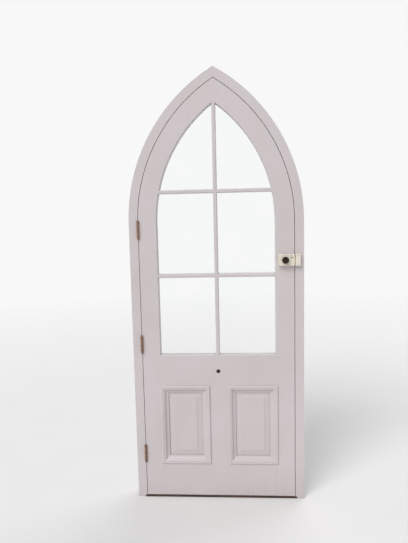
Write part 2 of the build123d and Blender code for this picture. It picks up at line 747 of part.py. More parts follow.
def latch_bolt():
    """Bevelled bolt head, and a tail with a slot for the cam's finger and one that clears the tail bar."""
    back, front = y_at(-LATCH_FLOOR), y_at(-BOLT_FRONT)
    nose = y_at(BOLT_NOSE - BOLT_FRONT)
    points = (
        (BOLT_SHOULDER, back),
        (BOLT_TIP - BOLT_THROW + KEEP_GAP, back),
        (BOLT_TIP, nose),
        (BOLT_TIP, front),
        (BOLT_SHOULDER, front),
    )
    low = LATCH_HEIGHT - BOLT_HEIGHT / 2
    head = extrude(Plane.XY.offset(low) * make_face(Polyline(*points, close=True)), amount=BOLT_HEIGHT)
    foot, top = LATCH_HEIGHT - TAIL_DROP, LATCH_HEIGHT + TAIL_RISE
    bolt = head + block(TAIL_END, foot, BOLT_SHOULDER, top, -TAIL_FRONT, -LATCH_FLOOR)
    clear = (-CAM_BACK, 0)
    low, high = LATCH_HEIGHT - TAIL_BAR_HOLE, LATCH_HEIGHT + TAIL_BAR_HOLE
    bolt -= block(KNOB_X - TAIL_BAR_HOLE, low, KNOB_X + BOLT_THROW + TAIL_BAR_HOLE, high, *clear)
    half = FINGER_RADIUS + FINGER_FIT
    middle = KNOB_X + BOLT_THROW / 2
    low = LATCH_HEIGHT + CAM_REACH * cos(radians(KNOB_TURN / 2)) - half
    bolt -= block(middle - half, low, middle + half, LATCH_HEIGHT + CAM_REACH + half, *clear)
    tooth = SNIB_WIDTH / 2 + SNIB_FIT
    notch = LATCH_HEIGHT + BOLT_HEIGHT / 2 - SNIB_REACH - SNIB_FIT
    for x in (SNIB_X, SNIB_X + BOLT_THROW):
        bolt -= block(x - tooth, notch, x + tooth, LATCH_HEIGHT + BOLT_HEIGHT, -BOLT_FRONT, 0)
    return bolt


def latch_knob():
    """Turned knob on a neck, with a spindle that turns in the case and holds the cam."""
    neck = KNOB_GAP + KNOB_NECK
    crown = neck + KNOB_HEIGHT
    rim = crown - KNOB_BEVEL - KNOB_RIM
    spindle = SPINDLE_END - CASE_DEPTH
    points = (
        (0, spindle),
        (SPINDLE_RADIUS, spindle),
        (SPINDLE_RADIUS, KNOB_GAP),
        (KNOB_NECK_RADIUS, KNOB_GAP),
        (KNOB_NECK_RADIUS, neck),
        (KNOB_RADIUS, rim),
        (KNOB_RADIUS, crown - KNOB_BEVEL),
        (KNOB_RADIUS - 2 * KNOB_BEVEL, crown),
        (0, crown),
    )
    return turned(points, KNOB_X, LATCH_HEIGHT, -CASE_DEPTH, -1)


def latch_cam():
    """Disc on the spindle with an arm and a finger for the bolt, and a pocket that the tail bar turns in."""
    lean = radians(KNOB_TURN / 2)
    tip = (KNOB_X + CAM_REACH * sin(lean), LATCH_HEIGHT + CAM_REACH * cos(lean))
    arm = Pos(0, CAM_REACH / 2) * Rectangle(2 * FINGER_RADIUS, CAM_REACH)
    arm = Pos(KNOB_X, LATCH_HEIGHT) * Rot(0, 0, -KNOB_TURN / 2) * arm
    disc = Pos(KNOB_X, LATCH_HEIGHT) * Circle(CAM_RADIUS)
    finger = Pos(*tip) * Circle(FINGER_RADIUS)
    cam = slab(arm + disc + finger, -CAM_FRONT, -CAM_BACK)
    cam += slab(finger, -CAM_BACK, -LATCH_FLOOR - FINGER_FIT)
    cam -= on_axis(SPINDLE_RADIUS + RUNNING_FIT, -CAM_FRONT, RUNNING_FIT - SPINDLE_END)
    pocket = on_axis(POCKET_RADIUS, -CAM_BACK - POCKET_DEPTH, -CAM_BACK)
    lug = POCKET_LUG_THICK / 2
    for sign in (-1, 1):
        near = KNOB_X + sign * (POCKET_RADIUS - POCKET_LUG)
        far = KNOB_X + sign * (POCKET_RADIUS + POCKET_LUG)
        pocket -= block(near, LATCH_HEIGHT - lug, far, LATCH_HEIGHT + lug, -CAM_FRONT, 0)
    return cam - pocket


def latch_spring():
    """Flat steel hairpin between the case's end wall and the bolt's tail."""
    left, right = case_inside()[0], TAIL_END
    middle = (left + right) / 2
    top = LATCH_HEIGHT + TAIL_RISE - SPRING_SET
    bend = top - SPRING_DROP
    inner_bend = bend + SPRING_STRIP * SPRING_DROP / (middle - left)
    points = (
        (left, top),
        (middle, bend),
        (right, top),
        (right - SPRING_STRIP, top),
        (middle, inner_bend),
        (left + SPRING_STRIP, top),
    )
    depth = (LATCH_FLOOR + TAIL_FRONT) / 2
    half = SPRING_WIDTH / 2
    return slab(make_face(Polyline(*points, close=True)), -depth - half, half - depth)


def snib_span():
    """Lowest and highest Z of the snib's shank where it passes through the case."""
    foot = LATCH_HEIGHT + BOLT_HEIGHT / 2 + SNIB_TRAVEL - SNIB_REACH
    return foot, foot + SNIB_WIDTH


def latch_snib():
    """Sliding button on the case, with a leg whose foot drops into a notch of the bolt."""
    foot, top = snib_span()
    middle = (foot + top) / 2

    def square(half, front, back):
        """A square block about the shank between two distances before the room face."""
        return block(SNIB_X - half, middle - half, SNIB_X + half, middle + half, -front, -back)

    face = CASE_DEPTH + KNOB_GAP
    inside = CASE_DEPTH - CASE_WALL - KNOB_GAP
    button = square(SNIB_BUTTON / 2, face + SNIB_PROUD, face)
    button = fillet(button.edges().filter_by(Axis.Y), SNIB_CORNER)
    flange = square(SNIB_WIDTH / 2 + SNIB_FLANGE, inside, inside - SNIB_FLANGE_THICK)
    return button + flange + square(SNIB_WIDTH / 2, face, LATCH_FLOOR + SNIB_FLOOR)


def cylinder_barrel():
    """Barrel of the rim cylinder, bored for the plug and its tail bar."""
    face = LEAF_THICK + BARREL_PROUD
    back = face - BARREL_LENGTH
    barrel = on_axis(BARREL_RADIUS, back, face)
    return barrel - on_axis(PLUG_RADIUS + RUNNING_FIT, back, face)


def cylinder_ring():
    """Bevelled ring that covers the hole's edge outside."""
    inner = BARREL_RADIUS + BARREL_FIT
    points = (
        (inner, 0),
        (RING_RADIUS, 0),
        (RING_RADIUS, RING_EDGE),
        (inner + RING_LIP, RING_THICK),
        (inner, RING_THICK),
    )
    return turned(points, KNOB_X, LATCH_HEIGHT, LEAF_THICK, 1)


def cylinder_plug():
    """Key plug with its keyway, and the flat tail bar that reaches into the cam."""
    face = LEAF_THICK + BARREL_PROUD
    plug = on_axis(PLUG_RADIUS, face - PLUG_LENGTH, face)
    half = KEYWAY_WIDTH / 2
    low, high = LATCH_HEIGHT - KEYWAY_HEIGHT / 2, LATCH_HEIGHT + KEYWAY_HEIGHT / 2
    plug -= block(KNOB_X - half, low, KNOB_X + half, high, face - KEYWAY_DEPTH, face)
    half = TAIL_BAR_THICK / 2
    low, high = LATCH_HEIGHT - TAIL_BAR_HALF, LATCH_HEIGHT + TAIL_BAR_HALF
    end = -CAM_BACK - TAIL_BAR_GRIP
    return plug + block(KNOB_X - half, low, KNOB_X + half, high, end, face - PLUG_LENGTH)


def keep():
    """Cast box on the jamb that receives the bolt, with a ramp on its lip."""
    body = block(KEEP_LEFT, CASE_LOW, KEEP_RIGHT, CASE_HIGH, -KEEP_DEPTH, 0)
    front = body.faces().sort_by(Axis.Y)[0]
    lip = front.edges().sort_by(Axis.X)[0]
    body = chamfer([lip], KEEP_LIP)
    rounded = body.edges().filter_by(Axis.Y).sort_by(Axis.X)[-2:]
    body = fillet(rounded, KEEP_EDGE)
    half = BOLT_HEIGHT / 2 + KEEP_FIT
    low, high = LATCH_HEIGHT - half, LATCH_HEIGHT + half
    pocket = (-BOLT_FRONT - KEEP_FIT, KEEP_FIT - LATCH_FLOOR)
    return body - block(KEEP_LEFT, low, KEEP_LEFT + KEEP_POCKET, high, *pocket)


def latch_pieces():
    """Latch, cylinder and keep."""
    return {
        "latch_backplate": latch_backplate(),
        "latch_case": latch_case(),
        "latch_bolt": latch_bolt(),
        "latch_knob": latch_knob(),
        "latch_cam": latch_cam(),
        "latch_spring": latch_spring(),
        "latch_snib": latch_snib(),
        "cylinder_barrel": cylinder_barrel(),
        "cylinder_ring": cylinder_ring(),
        "cylinder_plug": cylinder_plug(),
        "keep": keep(),
    }


# Pull knob


def stud(spare=0.0):
    """The stud of the pull knob through rose and rail, or the hole for it."""
    near, far = y_at(STUD_FIT - NUT_SEAT), y_at(LEAF_THICK + PULL_ROSE_THICK)
    return rod(STUD_RADIUS + spare, (0, near, PULL_HEIGHT), (0, far, PULL_HEIGHT))


def pull_knob():
    """Turned knob on a neck, with its stud."""
    neck = PULL_ROSE_THICK + PULL_NECK
    crown = neck + PULL_KNOB_HEIGHT
    bulge = neck + PULL_KNOB_BULGE
    points = (
        (0, PULL_ROSE_THICK),
        (PULL_NECK_RADIUS, PULL_ROSE_THICK),
        (PULL_NECK_RADIUS, neck),
        (PULL_KNOB_RADIUS, bulge),
        (PULL_KNOB_FACE, crown),
        (0, crown),
    )
    return turned(points, 0, PULL_HEIGHT, LEAF_THICK, 1) + stud()


def pull_rose():
    """Disc between the pull knob and the lock rail."""
    disc = Pos(0, PULL_HEIGHT) * Circle(PULL_ROSE_RADIUS)
    return slab(disc, LEAF_THICK, LEAF_THICK + PULL_ROSE_THICK) - stud(STUD_FIT)


def pull_nut():
    """Low dome nut on the room face, screwed onto the stud."""
    hole = STUD_RADIUS + STUD_FIT
    points = (
        (hole, 0),
        (NUT_RADIUS, 0),
        (NUT_RADIUS, NUT_EDGE),
        (NUT_CROWN, NUT_HEIGHT),
        (0, NUT_HEIGHT),
        (0, NUT_SEAT),
        (hole, NUT_SEAT),
    )
    return turned(points, 0, PULL_HEIGHT, 0, -1)


def all_pieces():
    """Every node of the door with its solids."""
    pieces = {}
    for group in (frame_pieces, leaf_pieces, glazing_pieces, panel_pieces, hinge_pieces, latch_pieces):
        pieces.update(group())
    pieces.update({"pull_knob": pull_knob(), "pull_rose": pull_rose(), "pull_nut": pull_nut()})
    return pieces


def write_pieces():
    """One STEP file for each node."""
    os.makedirs("parts", exist_ok=True)
    for name, solids in all_pieces().items():
        if isinstance(solids, list):
            solids = Compound(children=[solid for group in solids for solid in group.solids()])
        export_step(solids, os.path.join("parts", name + ".step"))


write_pieces()
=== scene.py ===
"""Dresses a pointed-arched, part-glazed door in its frame: paint, glass, ironmongery, light and camera."""
import json
import logging
import math
from collections.abc import Callable, Iterable, Sequence
from dataclasses import dataclass, field
from enum import Enum
from typing import Any

import bmesh
import bpy
from mathutils import Matrix, Vector


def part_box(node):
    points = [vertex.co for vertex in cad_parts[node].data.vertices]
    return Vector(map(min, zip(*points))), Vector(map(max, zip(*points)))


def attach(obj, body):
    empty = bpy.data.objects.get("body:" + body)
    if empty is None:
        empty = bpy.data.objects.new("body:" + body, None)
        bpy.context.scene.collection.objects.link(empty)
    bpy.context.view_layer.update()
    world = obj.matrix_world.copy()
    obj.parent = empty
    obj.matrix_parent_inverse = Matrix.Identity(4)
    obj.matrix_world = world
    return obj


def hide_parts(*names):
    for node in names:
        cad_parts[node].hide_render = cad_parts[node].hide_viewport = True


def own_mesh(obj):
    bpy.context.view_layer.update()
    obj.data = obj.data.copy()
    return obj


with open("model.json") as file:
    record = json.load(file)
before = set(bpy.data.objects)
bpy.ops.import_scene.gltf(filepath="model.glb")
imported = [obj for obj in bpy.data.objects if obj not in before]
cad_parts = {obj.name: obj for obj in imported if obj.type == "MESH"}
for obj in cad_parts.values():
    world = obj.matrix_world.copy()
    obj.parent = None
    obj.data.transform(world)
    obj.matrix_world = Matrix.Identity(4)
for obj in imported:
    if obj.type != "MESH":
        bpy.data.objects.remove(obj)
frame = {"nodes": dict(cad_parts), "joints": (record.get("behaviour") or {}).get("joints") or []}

LOG = logging.getLogger("arched_door")
Colour = tuple[float, float, float]
Point = tuple[float, float]
Span = tuple[float, float]
Socket = bpy.types.NodeSocket
Mesh = bmesh.types.BMesh
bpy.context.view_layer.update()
BACKDROP_WHITE = (0.94, 0.94, 0.94, 1.0)
NOISE_SPAN: Span = (0.3, 0.7)
CORNER_LIGHT, OPEN_LIGHT = 0.45, 0.95
SAME_POINT = 0.000001
SEAM_WIDTH = 0.00002
FLAT_BELOW = 0.5
EASED_ABOVE = 38


class Grain(Enum):
    """Which way the fibres and the brush marks of a timber run."""

    UPRIGHT = "upright"
    LEVEL = "level"
    LEFT_ARC = "left_arc"
    RIGHT_ARC = "right_arc"


class Facing(Enum):
    """Where a turned piece or a screw head points."""

    ROOM = (0.0, -1.0, 0.0)
    OUTSIDE = (0.0, 1.0, 0.0)
    LEFT = (-1.0, 0.0, 0.0)
    RIGHT = (1.0, 0.0, 0.0)
    UP = (0.0, 0.0, 1.0)
    DOWN = (0.0, 0.0, -1.0)


@dataclass(frozen=True)
class ArchLine:
    """The arc that head pieces follow, worked out from the frame's outline."""

    springing: float = 1.613

    def centre(self) -> float:
        """Where the arc's centre is.

        Returns:
            Its distance from the middle of the door, on the far side.
        """
        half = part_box("jamb_right")[1].x
        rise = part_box("head_right")[1].z - self.springing
        return (rise**2 - half**2) / (2 * half)


class ShaderSheet:
    """The node tree of one material, with short calls for the nodes that the finishes share."""

    def __init__(self, name: str) -> None:
        """Starts a material with one Principled shader.

        Args:
            name: The material's name.
        """
        self.material = bpy.data.materials.new(name)
        self.material.use_nodes = True
        self.tree = self.material.node_tree
        self.tree.nodes.clear()
        self.output = self.tree.nodes.new("ShaderNodeOutputMaterial")
        self.shader = self.tree.nodes.new("ShaderNodeBsdfPrincipled")
        self.tree.links.new(self.shader.outputs[0], self.output.inputs[0])

    def node(self, kind: str, **settings: Any) -> bpy.types.Node:
        """A new node with its settings.

        Args:
            kind: The node's type.
            settings: Attributes of the node.

        Returns:
            The node.
        """
        made = self.tree.nodes.new(kind)
        for key, value in settings.items():
            setattr(made, key, value)
        return made

    def put(self, value: Any, socket: Socket) -> None:
        """Gives a socket a link or a plain value.

        Args:
            value: The link or the value.
            socket: The socket.
        """
        if isinstance(value, Socket):
            self.tree.links.new(value, socket)
        else:
            socket.default_value = value

    def place(self) -> Socket:
        """Where a point is in the door, in metres."""
        return self.node("ShaderNodeTexCoord").outputs["Object"]

    def stretched(self, scale: Sequence[float], vector: Socket | None = None) -> Socket:
        """Coordinates scaled by a factor along each axis.

        Args:
            scale: The three factors.
            vector: The coordinates, or none for the place in the door.

        Returns:
            The scaled coordinates.
        """
        mapping = self.node("ShaderNodeMapping")
        self.put(vector or self.place(), mapping.inputs["Vector"])
        mapping.inputs["Scale"].default_value = scale
        return mapping.outputs[0]

    def calculate(self, kind: str, first: Any, second: Any = 0.0) -> Socket:
        """One Math node.

        Args:
            kind: Its operation.
            first: The first link or value.
            second: The second link or value.

        Returns:
            The result.
        """
        made = self.node("ShaderNodeMath", operation=kind)
        self.put(first, made.inputs[0])
        self.put(second, made.inputs[1])
        return made.outputs[0]

    def along_arc(self, arch: ArchLine, side: int) -> Socket:
        """Coordinates across, through and along a curved head piece.

        Args:
            arch: The arc.
            side: -1 on the left of the door, 1 on the right.

        Returns:
            A vector of radius, depth and angle along the arc, with the grain along Z.
        """
        parts = self.node("ShaderNodeSeparateXYZ")
        self.put(self.place(), parts.inputs[0])
        across = self.calculate("MULTIPLY_ADD", parts.outputs[0], float(side))
        across.node.inputs[2].default_value = arch.centre()
        up = self.calculate("SUBTRACT", parts.outputs[2], arch.springing)
        squares = [self.calculate("POWER", length, 2.0) for length in (across, up)]
        radius = self.calculate("SQRT", self.calculate("ADD", *squares))
        angle = self.calculate("ARCTAN2", up, across)
        made = self.node("ShaderNodeCombineXYZ")
        self.put(radius, made.inputs[0])
        self.put(parts.outputs[1], made.inputs[1])
        self.put(angle, made.inputs[2])
        return made.outputs[0]

    def fibres(self, grain: Grain, fine: float, coarse: float) -> Socket:
        """Coordinates in which noise turns into streaks along the grain.

        Args:
            grain: The grain's direction.
            fine: Streaks per metre across the grain.
            coarse: Changes per metre along it.

        Returns:
            The vector.
        """
        if grain is Grain.LEVEL:
            return self.stretched((coarse, fine, fine))
        if grain is Grain.UPRIGHT:
            return self.stretched((fine, fine, coarse))
        side = -1 if grain is Grain.LEFT_ARC else 1
        return self.stretched((fine, fine, coarse), self.along_arc(ArchLine(), side))

    def noise(self, vector: Socket, scale: float, detail: float = 4.0) -> Socket:
        """Noise, mostly inside NOISE_SPAN.

        Args:
            vector: The coordinates.
            scale: How fine it is.
            detail: How many octaves it has.

        Returns:
            The noise.
        """
        made = self.node("ShaderNodeTexNoise")
        self.put(vector, made.inputs["Vector"])
        made.inputs["Scale"].default_value = scale
        made.inputs["Detail"].default_value = detail
        return made.outputs[0]

    def between(self, value: Any, low: float, high: float, start: float = 0.0, end: float = 1.0) -> Socket:
        """A value from one range mapped to another and held inside it.

        Args:
            value: The link.
            low: What becomes start.
            high: What becomes end.
            start: First result.
            end: Last result.

        Returns:
            The result.
        """
        made = self.node("ShaderNodeMapRange")
        for socket, given in zip(made.inputs, (value, low, high, start, end)):
            self.put(given, socket)
        return made.outputs[0]

    def mix(self, share: Any, first: Any, second: Any) -> Socket:
        """Two colours mixed.

        Args:
            share: How much of the second.
            first: A link or a colour.
            second: A link or a colour.

        Returns:
            The colour.
        """
        made = self.node("ShaderNodeMix", data_type="RGBA")
        self.put(share, made.inputs[0])
        for given, socket in ((first, made.inputs[6]), (second, made.inputs[7])):
            self.put((*given, 1.0) if isinstance(given, tuple) else given, socket)
        return made.outputs[2]

    def painted_corner_shade(self, reach: float) -> Socket:
        """Painted shade: how deep a point sits between its neighbours, from ambient occlusion, used to darken
        corners where shade falls.

        Args:
            reach: How far off the neighbours count, in metres.

        Returns:
            From 0 on open faces to 1 in corners.
        """
        made = self.node("ShaderNodeAmbientOcclusion", samples=8)
        made.inputs["Distance"].default_value = reach
        return self.between(made.outputs["AO"], CORNER_LIGHT, OPEN_LIGHT, 1.0, 0.0)

    def relief(self, height: Socket, depth: float, under: Any = None) -> Socket:
        """A bumped normal.

        Args:
            height: From 0 to 1.
            depth: How far a height of 1 stands out, in metres.
            under: A normal that this one adds to.

        Returns:
            The normal.
        """
        made = self.node("ShaderNodeBump")
        made.inputs["Distance"].default_value = depth
        self.put(height, made.inputs["Height"])
        if under is not None:
            self.put(under, made.inputs["Normal"])
        return made.outputs[0]

    def dress(self, colour: Any, roughness: Any, normal: Any = None, **plain: float) -> bpy.types.Material:
        """Fills the shader.

        Args:
            colour: The base colour.
            roughness: A link or a value.
            normal: A bumped normal, if any.
            plain: Plain values for other sockets, with underscores for spaces.

        Returns:
            The material.
        """
        self.put((*colour, 1.0) if isinstance(colour, tuple) else colour, self.shader.inputs["Base Color"])
        self.put(roughness, self.shader.inputs["Roughness"])
        if normal is not None:
            self.put(normal, self.shader.inputs["Normal"])
        for key, value in plain.items():
            self.shader.inputs[key.replace("_", " ")].default_value = value
        return self.material


@dataclass(frozen=True)
class Finish:
    """What a surface is made of. Each finish makes its material once."""

    slot: str

    def name(self) -> str:
        """The material's name."""
        return type(self).__name__

    def paint(self, sheet: ShaderSheet) -> None:
        """Lays out the nodes."""
        raise NotImplementedError

    def material(self) -> bpy.types.Material:
        """The finish's material, made at its first use.

        Returns:
            The material.
        """
        found = bpy.data.materials.get(self.name())
        if found is None:
            sheet = ShaderSheet(self.name())
            self.paint(sheet)
            found = sheet.material
        return found


@dataclass(frozen=True)
class SatinPaint(Finish):
    """White satin paint, brushed along the grain, with painted shade in the corners of mouldings and splashes
    near the foot.
    """

    slot: str = "white_paint"
    grain: Grain = Grain.UPRIGHT
    white: Colour = (0.610, 0.556, 0.568)
    aged: Colour = (0.545, 0.490, 0.475)
    # Colour of the splashes near the foot, and of the painted shade in the corners of moulded timber.
    grime_and_shade: Colour = (0.230, 0.190, 0.175)
    brush_marks: float = 380.0
    brush_depth: float = 0.00018
    fibre_marks: float = 1500.0
    fibre_depth: float = 0.00005
    cloud_scale: float = 3.2
    speck_scale: float = 120.0
    haze_scale: float = 9.0
    roughness: Span = (0.30, 0.42)
    sheen: float = 0.45
    splash_height: float = 0.26
    splash_share: float = 0.34
    splash_dulls: float = 0.25
    # How far and how strongly painted shade darkens the corners of moulded timber.
    paint_shade_reach: float = 0.007
    paint_shade_share: Span = (0.22, 0.46)
    # Moulded timber also gets painted shade in its corners.
    moulded: bool = False

    def name(self) -> str:
        """One material for each direction of the grain, and others for moulded timber, which carry painted
        shade in their corners.
        """
        return "SatinPaint_" + self.grain.value + ("_moulded" if self.moulded else "")

    def paint(self, sheet: ShaderSheet) -> None:
        """Brush marks, faint clouding, raised fibres, painted shade in the corners and splashes low down.

        Args:
            sheet: Where the nodes go.
        """
        brushed = sheet.noise(sheet.fibres(self.grain, self.brush_marks, 7.0), 1.0, 3.0)
        fibre = sheet.noise(sheet.fibres(self.grain, self.fibre_marks, 20.0), 1.0, 2.0)
        clouds = sheet.noise(sheet.place(), self.cloud_scale, 3.0)
        colour = sheet.mix(sheet.between(clouds, 0.35, 0.75, 0.0, 0.6), self.white, self.aged)
        colour = sheet.mix(sheet.between(brushed, 0.3, 0.8, 0.0, 0.14), colour, self.aged)
        parts = sheet.node("ShaderNodeSeparateXYZ")
        sheet.put(sheet.place(), parts.inputs[0])
        low = sheet.between(parts.outputs[2], 0.0, self.splash_height, 1.0, 0.0)
        specks = sheet.between(sheet.noise(sheet.place(), self.speck_scale, 6.0), 0.56, 0.72)
        haze = sheet.between(sheet.noise(sheet.place(), self.haze_scale, 5.0), 0.35, 0.75, 0.10, 0.45)
        nearness = sheet.calculate("POWER", low, 2.0)
        splash = sheet.calculate("MULTIPLY", nearness, sheet.calculate("ADD", specks, haze))
        colour = sheet.mix(sheet.calculate("MULTIPLY", splash, self.splash_share), colour, self.grime_and_shade)
        if self.moulded:
            # Painted shade: corners and recesses of moulded timber darkened towards the dark splash colour,
            # with a random strength.
            corners = sheet.painted_corner_shade(self.paint_shade_reach)
            shade_strength = sheet.between(clouds, *NOISE_SPAN, *self.paint_shade_share)
            colour = sheet.mix(sheet.calculate("MULTIPLY", corners, shade_strength), colour, self.grime_and_shade)
        rough = sheet.between(brushed, *NOISE_SPAN, *self.roughness)
        rough = sheet.calculate("ADD", rough, sheet.calculate("MULTIPLY", splash, self.splash_dulls))
        normal = sheet.relief(brushed, self.brush_depth)
        normal = sheet.relief(fibre, self.fibre_depth, normal)
        sheet.dress(colour, rough, normal, Specular_IOR_Level=self.sheen)


@dataclass(frozen=True)
class OiledHardwood(Finish):
    """Dark oiled hardwood of the threshold, a little dusty."""

    slot: str = "dark_hardwood"
    dark: Colour = (0.020, 0.011, 0.008)
    pale: Colour = (0.085, 0.045, 0.026)
    dust: Colour = (0.16, 0.13, 0.11)
    figure_marks: float = 130.0
    pore_marks: float = 900.0
    pore_depth: float = 0.0003
    roughness: Span = (0.42, 0.6)

    def paint(self, sheet: ShaderSheet) -> None:
        """Fibres, pores and dust.

        Args:
            sheet: Where the nodes go.
        """
        figure = sheet.noise(sheet.fibres(Grain.LEVEL, self.figure_marks, 4.0), 1.0, 6.0)
        pores = sheet.noise(sheet.fibres(Grain.LEVEL, self.pore_marks, 30.0), 1.0, 3.0)
        dust = sheet.between(sheet.noise(sheet.place(), 38.0, 8.0), 0.5, 0.8, 0.0, 0.25)
        colour = sheet.mix(sheet.between(figure, 0.36, 0.68), self.dark, self.pale)
        colour = sheet.mix(sheet.between(pores, 0.55, 0.7, 0.0, 0.6), colour, self.dark)
        colour = sheet.mix(dust, colour, self.dust)
        normal = sheet.relief(pores, self.pore_depth)
        sheet.dress(colour, sheet.between(figure, *NOISE_SPAN, *self.roughness), normal)


@dataclass(frozen=True)
class PlanedTimber(Finish):
    """Bare planed softwood of the loose tenons."""

    slot: str = "bare_timber"
    early: Colour = (0.62, 0.42, 0.24)
    late: Colour = (0.42, 0.25, 0.12)
    ring_marks: float = 160.0
    ring_depth: float = 0.0001
    roughness: float = 0.68

    def paint(self, sheet: ShaderSheet) -> None:
        """Growth rings drawn out along the grain.

        Args:
            sheet: Where the nodes go.
        """
        rings = sheet.noise(sheet.fibres(Grain.UPRIGHT, self.ring_marks, 5.0), 1.0, 5.0)
        colour = sheet.mix(sheet.between(rings, 0.35, 0.65), self.early, self.late)
        sheet.dress(colour, self.roughness, sheet.relief(rings, self.ring_depth))


@dataclass(frozen=True)
class FloatGlass(Finish):
    """Clear window glass with a faint waver."""

    slot: str = "glass"
    tinged: Colour = (0.972, 0.992, 0.985)
    clear: Colour = (0.985, 0.995, 0.99)
    waver: float = 0.0006
    refraction: float = 1.45

    def paint(self, sheet: ShaderSheet) -> None:
        """Clear, with a slow ripple and a little dust.

        Args:
            sheet: Where the nodes go.
        """
        ripple = sheet.noise(sheet.place(), 6.0, 1.0)
        dust = sheet.between(sheet.noise(sheet.place(), 55.0, 6.0), 0.5, 0.9, 0.004, 0.03)
        colour = sheet.mix(sheet.between(ripple, *NOISE_SPAN), self.tinged, self.clear)
        normal = sheet.relief(ripple, self.waver)
        sheet.dress(colour, dust, normal, Transmission_Weight=1.0, IOR=self.refraction)


@dataclass(frozen=True)
class AgedMetal(Finish):
    """Metal whose bright surface has tarnished in clouds and spots."""

    slot: str = "hinge_brass"
    title: str = "HingeBrass"
    bright: Colour = (0.385, 0.230, 0.150)
    tarnish: Colour = (0.165, 0.104, 0.088)
    cover: Span = (0.32, 0.66)
    clouds: float = 70.0
    spots_finer: float = 9.0
    spot_share: float = 0.5
    roughness: Span = (0.32, 0.55)
    scratch_depth: float = 0.00003
    tarnish_depth: float = 0.00004

    def name(self) -> str:
        """The name of this metal."""
        return self.title

    def paint(self, sheet: ShaderSheet) -> None:
        """Tarnish over bright metal, with fine scratches.

        Args:
            sheet: Where the nodes go.
        """
        cloud = sheet.noise(sheet.place(), self.clouds, 8.0)
        spots = sheet.between(sheet.noise(sheet.place(), self.clouds * self.spots_finer, 3.0), 0.58, 0.66)
        scratch = sheet.noise(sheet.stretched((2600.0, 2600.0, 90.0)), 1.0, 2.0)
        clouded = sheet.between(cloud, *self.cover)
        spotted = sheet.calculate("MULTIPLY", spots, self.spot_share)
        share = sheet.calculate("MAXIMUM", clouded, spotted)
        colour = sheet.mix(share, self.bright, self.tarnish)
        normal = sheet.relief(scratch, self.scratch_depth)
        normal = sheet.relief(cloud, self.tarnish_depth, normal)
        sheet.dress(colour, sheet.between(share, 0.0, 1.0, *self.roughness), normal, Metallic=1.0)


@dataclass(frozen=True)
class CreamEnamel(Finish):
    """Cream stove enamel of the latch, yellowed, with a few chips down to the brass and painted shade in its
    corners.
    """

    slot: str = "latch_cream"
    title: str = "LatchEnamel"
    cream: Colour = (0.76, 0.715, 0.62)
    yellowed: Colour = (0.67, 0.605, 0.49)
    # Colour of the chips down to the brass, and of the painted shade in corners.
    chip_and_shade: Colour = (0.25, 0.17, 0.10)
    age_scale: float = 24.0
    peel_scale: float = 900.0
    peel_depth: float = 0.00003
    chip_scale: float = 170.0
    chip_edge: Span = (0.700, 0.712)
    chip_depth: float = 0.00012
    # How far and how strongly painted shade darkens the enamel's corners.
    enamel_shade_reach: float = 0.004
    enamel_shade_share: float = 0.5
    roughness: Span = (0.24, 0.36)

    def name(self) -> str:
        """The name of this coat."""
        return self.title

    def paint(self, sheet: ShaderSheet) -> None:
        """Slow yellowing, orange-peel, chips and painted shade in the corners.

        Args:
            sheet: Where the nodes go.
        """
        age = sheet.noise(sheet.place(), self.age_scale, 3.0)
        peel = sheet.noise(sheet.place(), self.peel_scale, 2.0)
        chips = sheet.between(sheet.noise(sheet.place(), self.chip_scale, 5.0), *self.chip_edge)
        colour = sheet.mix(sheet.between(age, 0.35, 0.7, 0.0, 0.7), self.cream, self.yellowed)
        colour = sheet.mix(chips, colour, self.chip_and_shade)
        normal = sheet.relief(sheet.calculate("SUBTRACT", 1.0, chips), self.chip_depth)
        normal = sheet.relief(peel, self.peel_depth, normal)
        # Painted shade: corners where the latch's parts meet darkened towards the chip colour.
        painted_shade = sheet.calculate("MULTIPLY", sheet.painted_corner_shade(self.enamel_shade_reach), self.enamel_shade_share)
        colour = sheet.mix(painted_shade, colour, self.chip_and_shade)
        sheet.dress(colour, sheet.between(age, *NOISE_SPAN, *self.roughness), normal)


@dataclass(frozen=True)
class StudioFloor(Finish):
    """Plain pale floor that passes into the white backdrop away from the door."""

    slot: str = ""
    pale: Colour = (0.80, 0.79, 0.78)
    dim: Colour = (0.775, 0.765, 0.755)
    roughness: float = 0.85
    near: float = 2.4
    far: float = 8.0

    def paint(self, sheet: ShaderSheet) -> None:
        """Nearly even, with a faint mottle, and backdrop white to the eye far out.

        Args:
            sheet: Where the nodes go.
        """
        mottle = sheet.noise(sheet.place(), 3.0, 3.0)
        sheet.dress(sheet.mix(mottle, self.pale, self.dim), self.roughness)
        rays = sheet.node("ShaderNodeLightPath").outputs
        seen = sheet.calculate("MAXIMUM", rays["Is Camera Ray"], rays["Is Glossy Ray"])
        seen = sheet.calculate("MAXIMUM", seen, rays["Is Transmission Ray"])
        away = sheet.node("ShaderNodeVectorMath", operation="LENGTH")
        sheet.put(sheet.place(), away.inputs[0])
        share = sheet.calculate("MULTIPLY", seen, sheet.between(away.outputs["Value"], self.near, self.far))
        white = sheet.node("ShaderNodeEmission")
        white.inputs[0].default_value = BACKDROP_WHITE
        blend = sheet.node("ShaderNodeMixShader")
        sheet.put(share, blend.inputs[0])
        sheet.put(sheet.shader.outputs[0], blend.inputs[1])
        sheet.put(white.outputs[0], blend.inputs[2])
        sheet.put(blend.outputs[0], sheet.output.inputs[0])


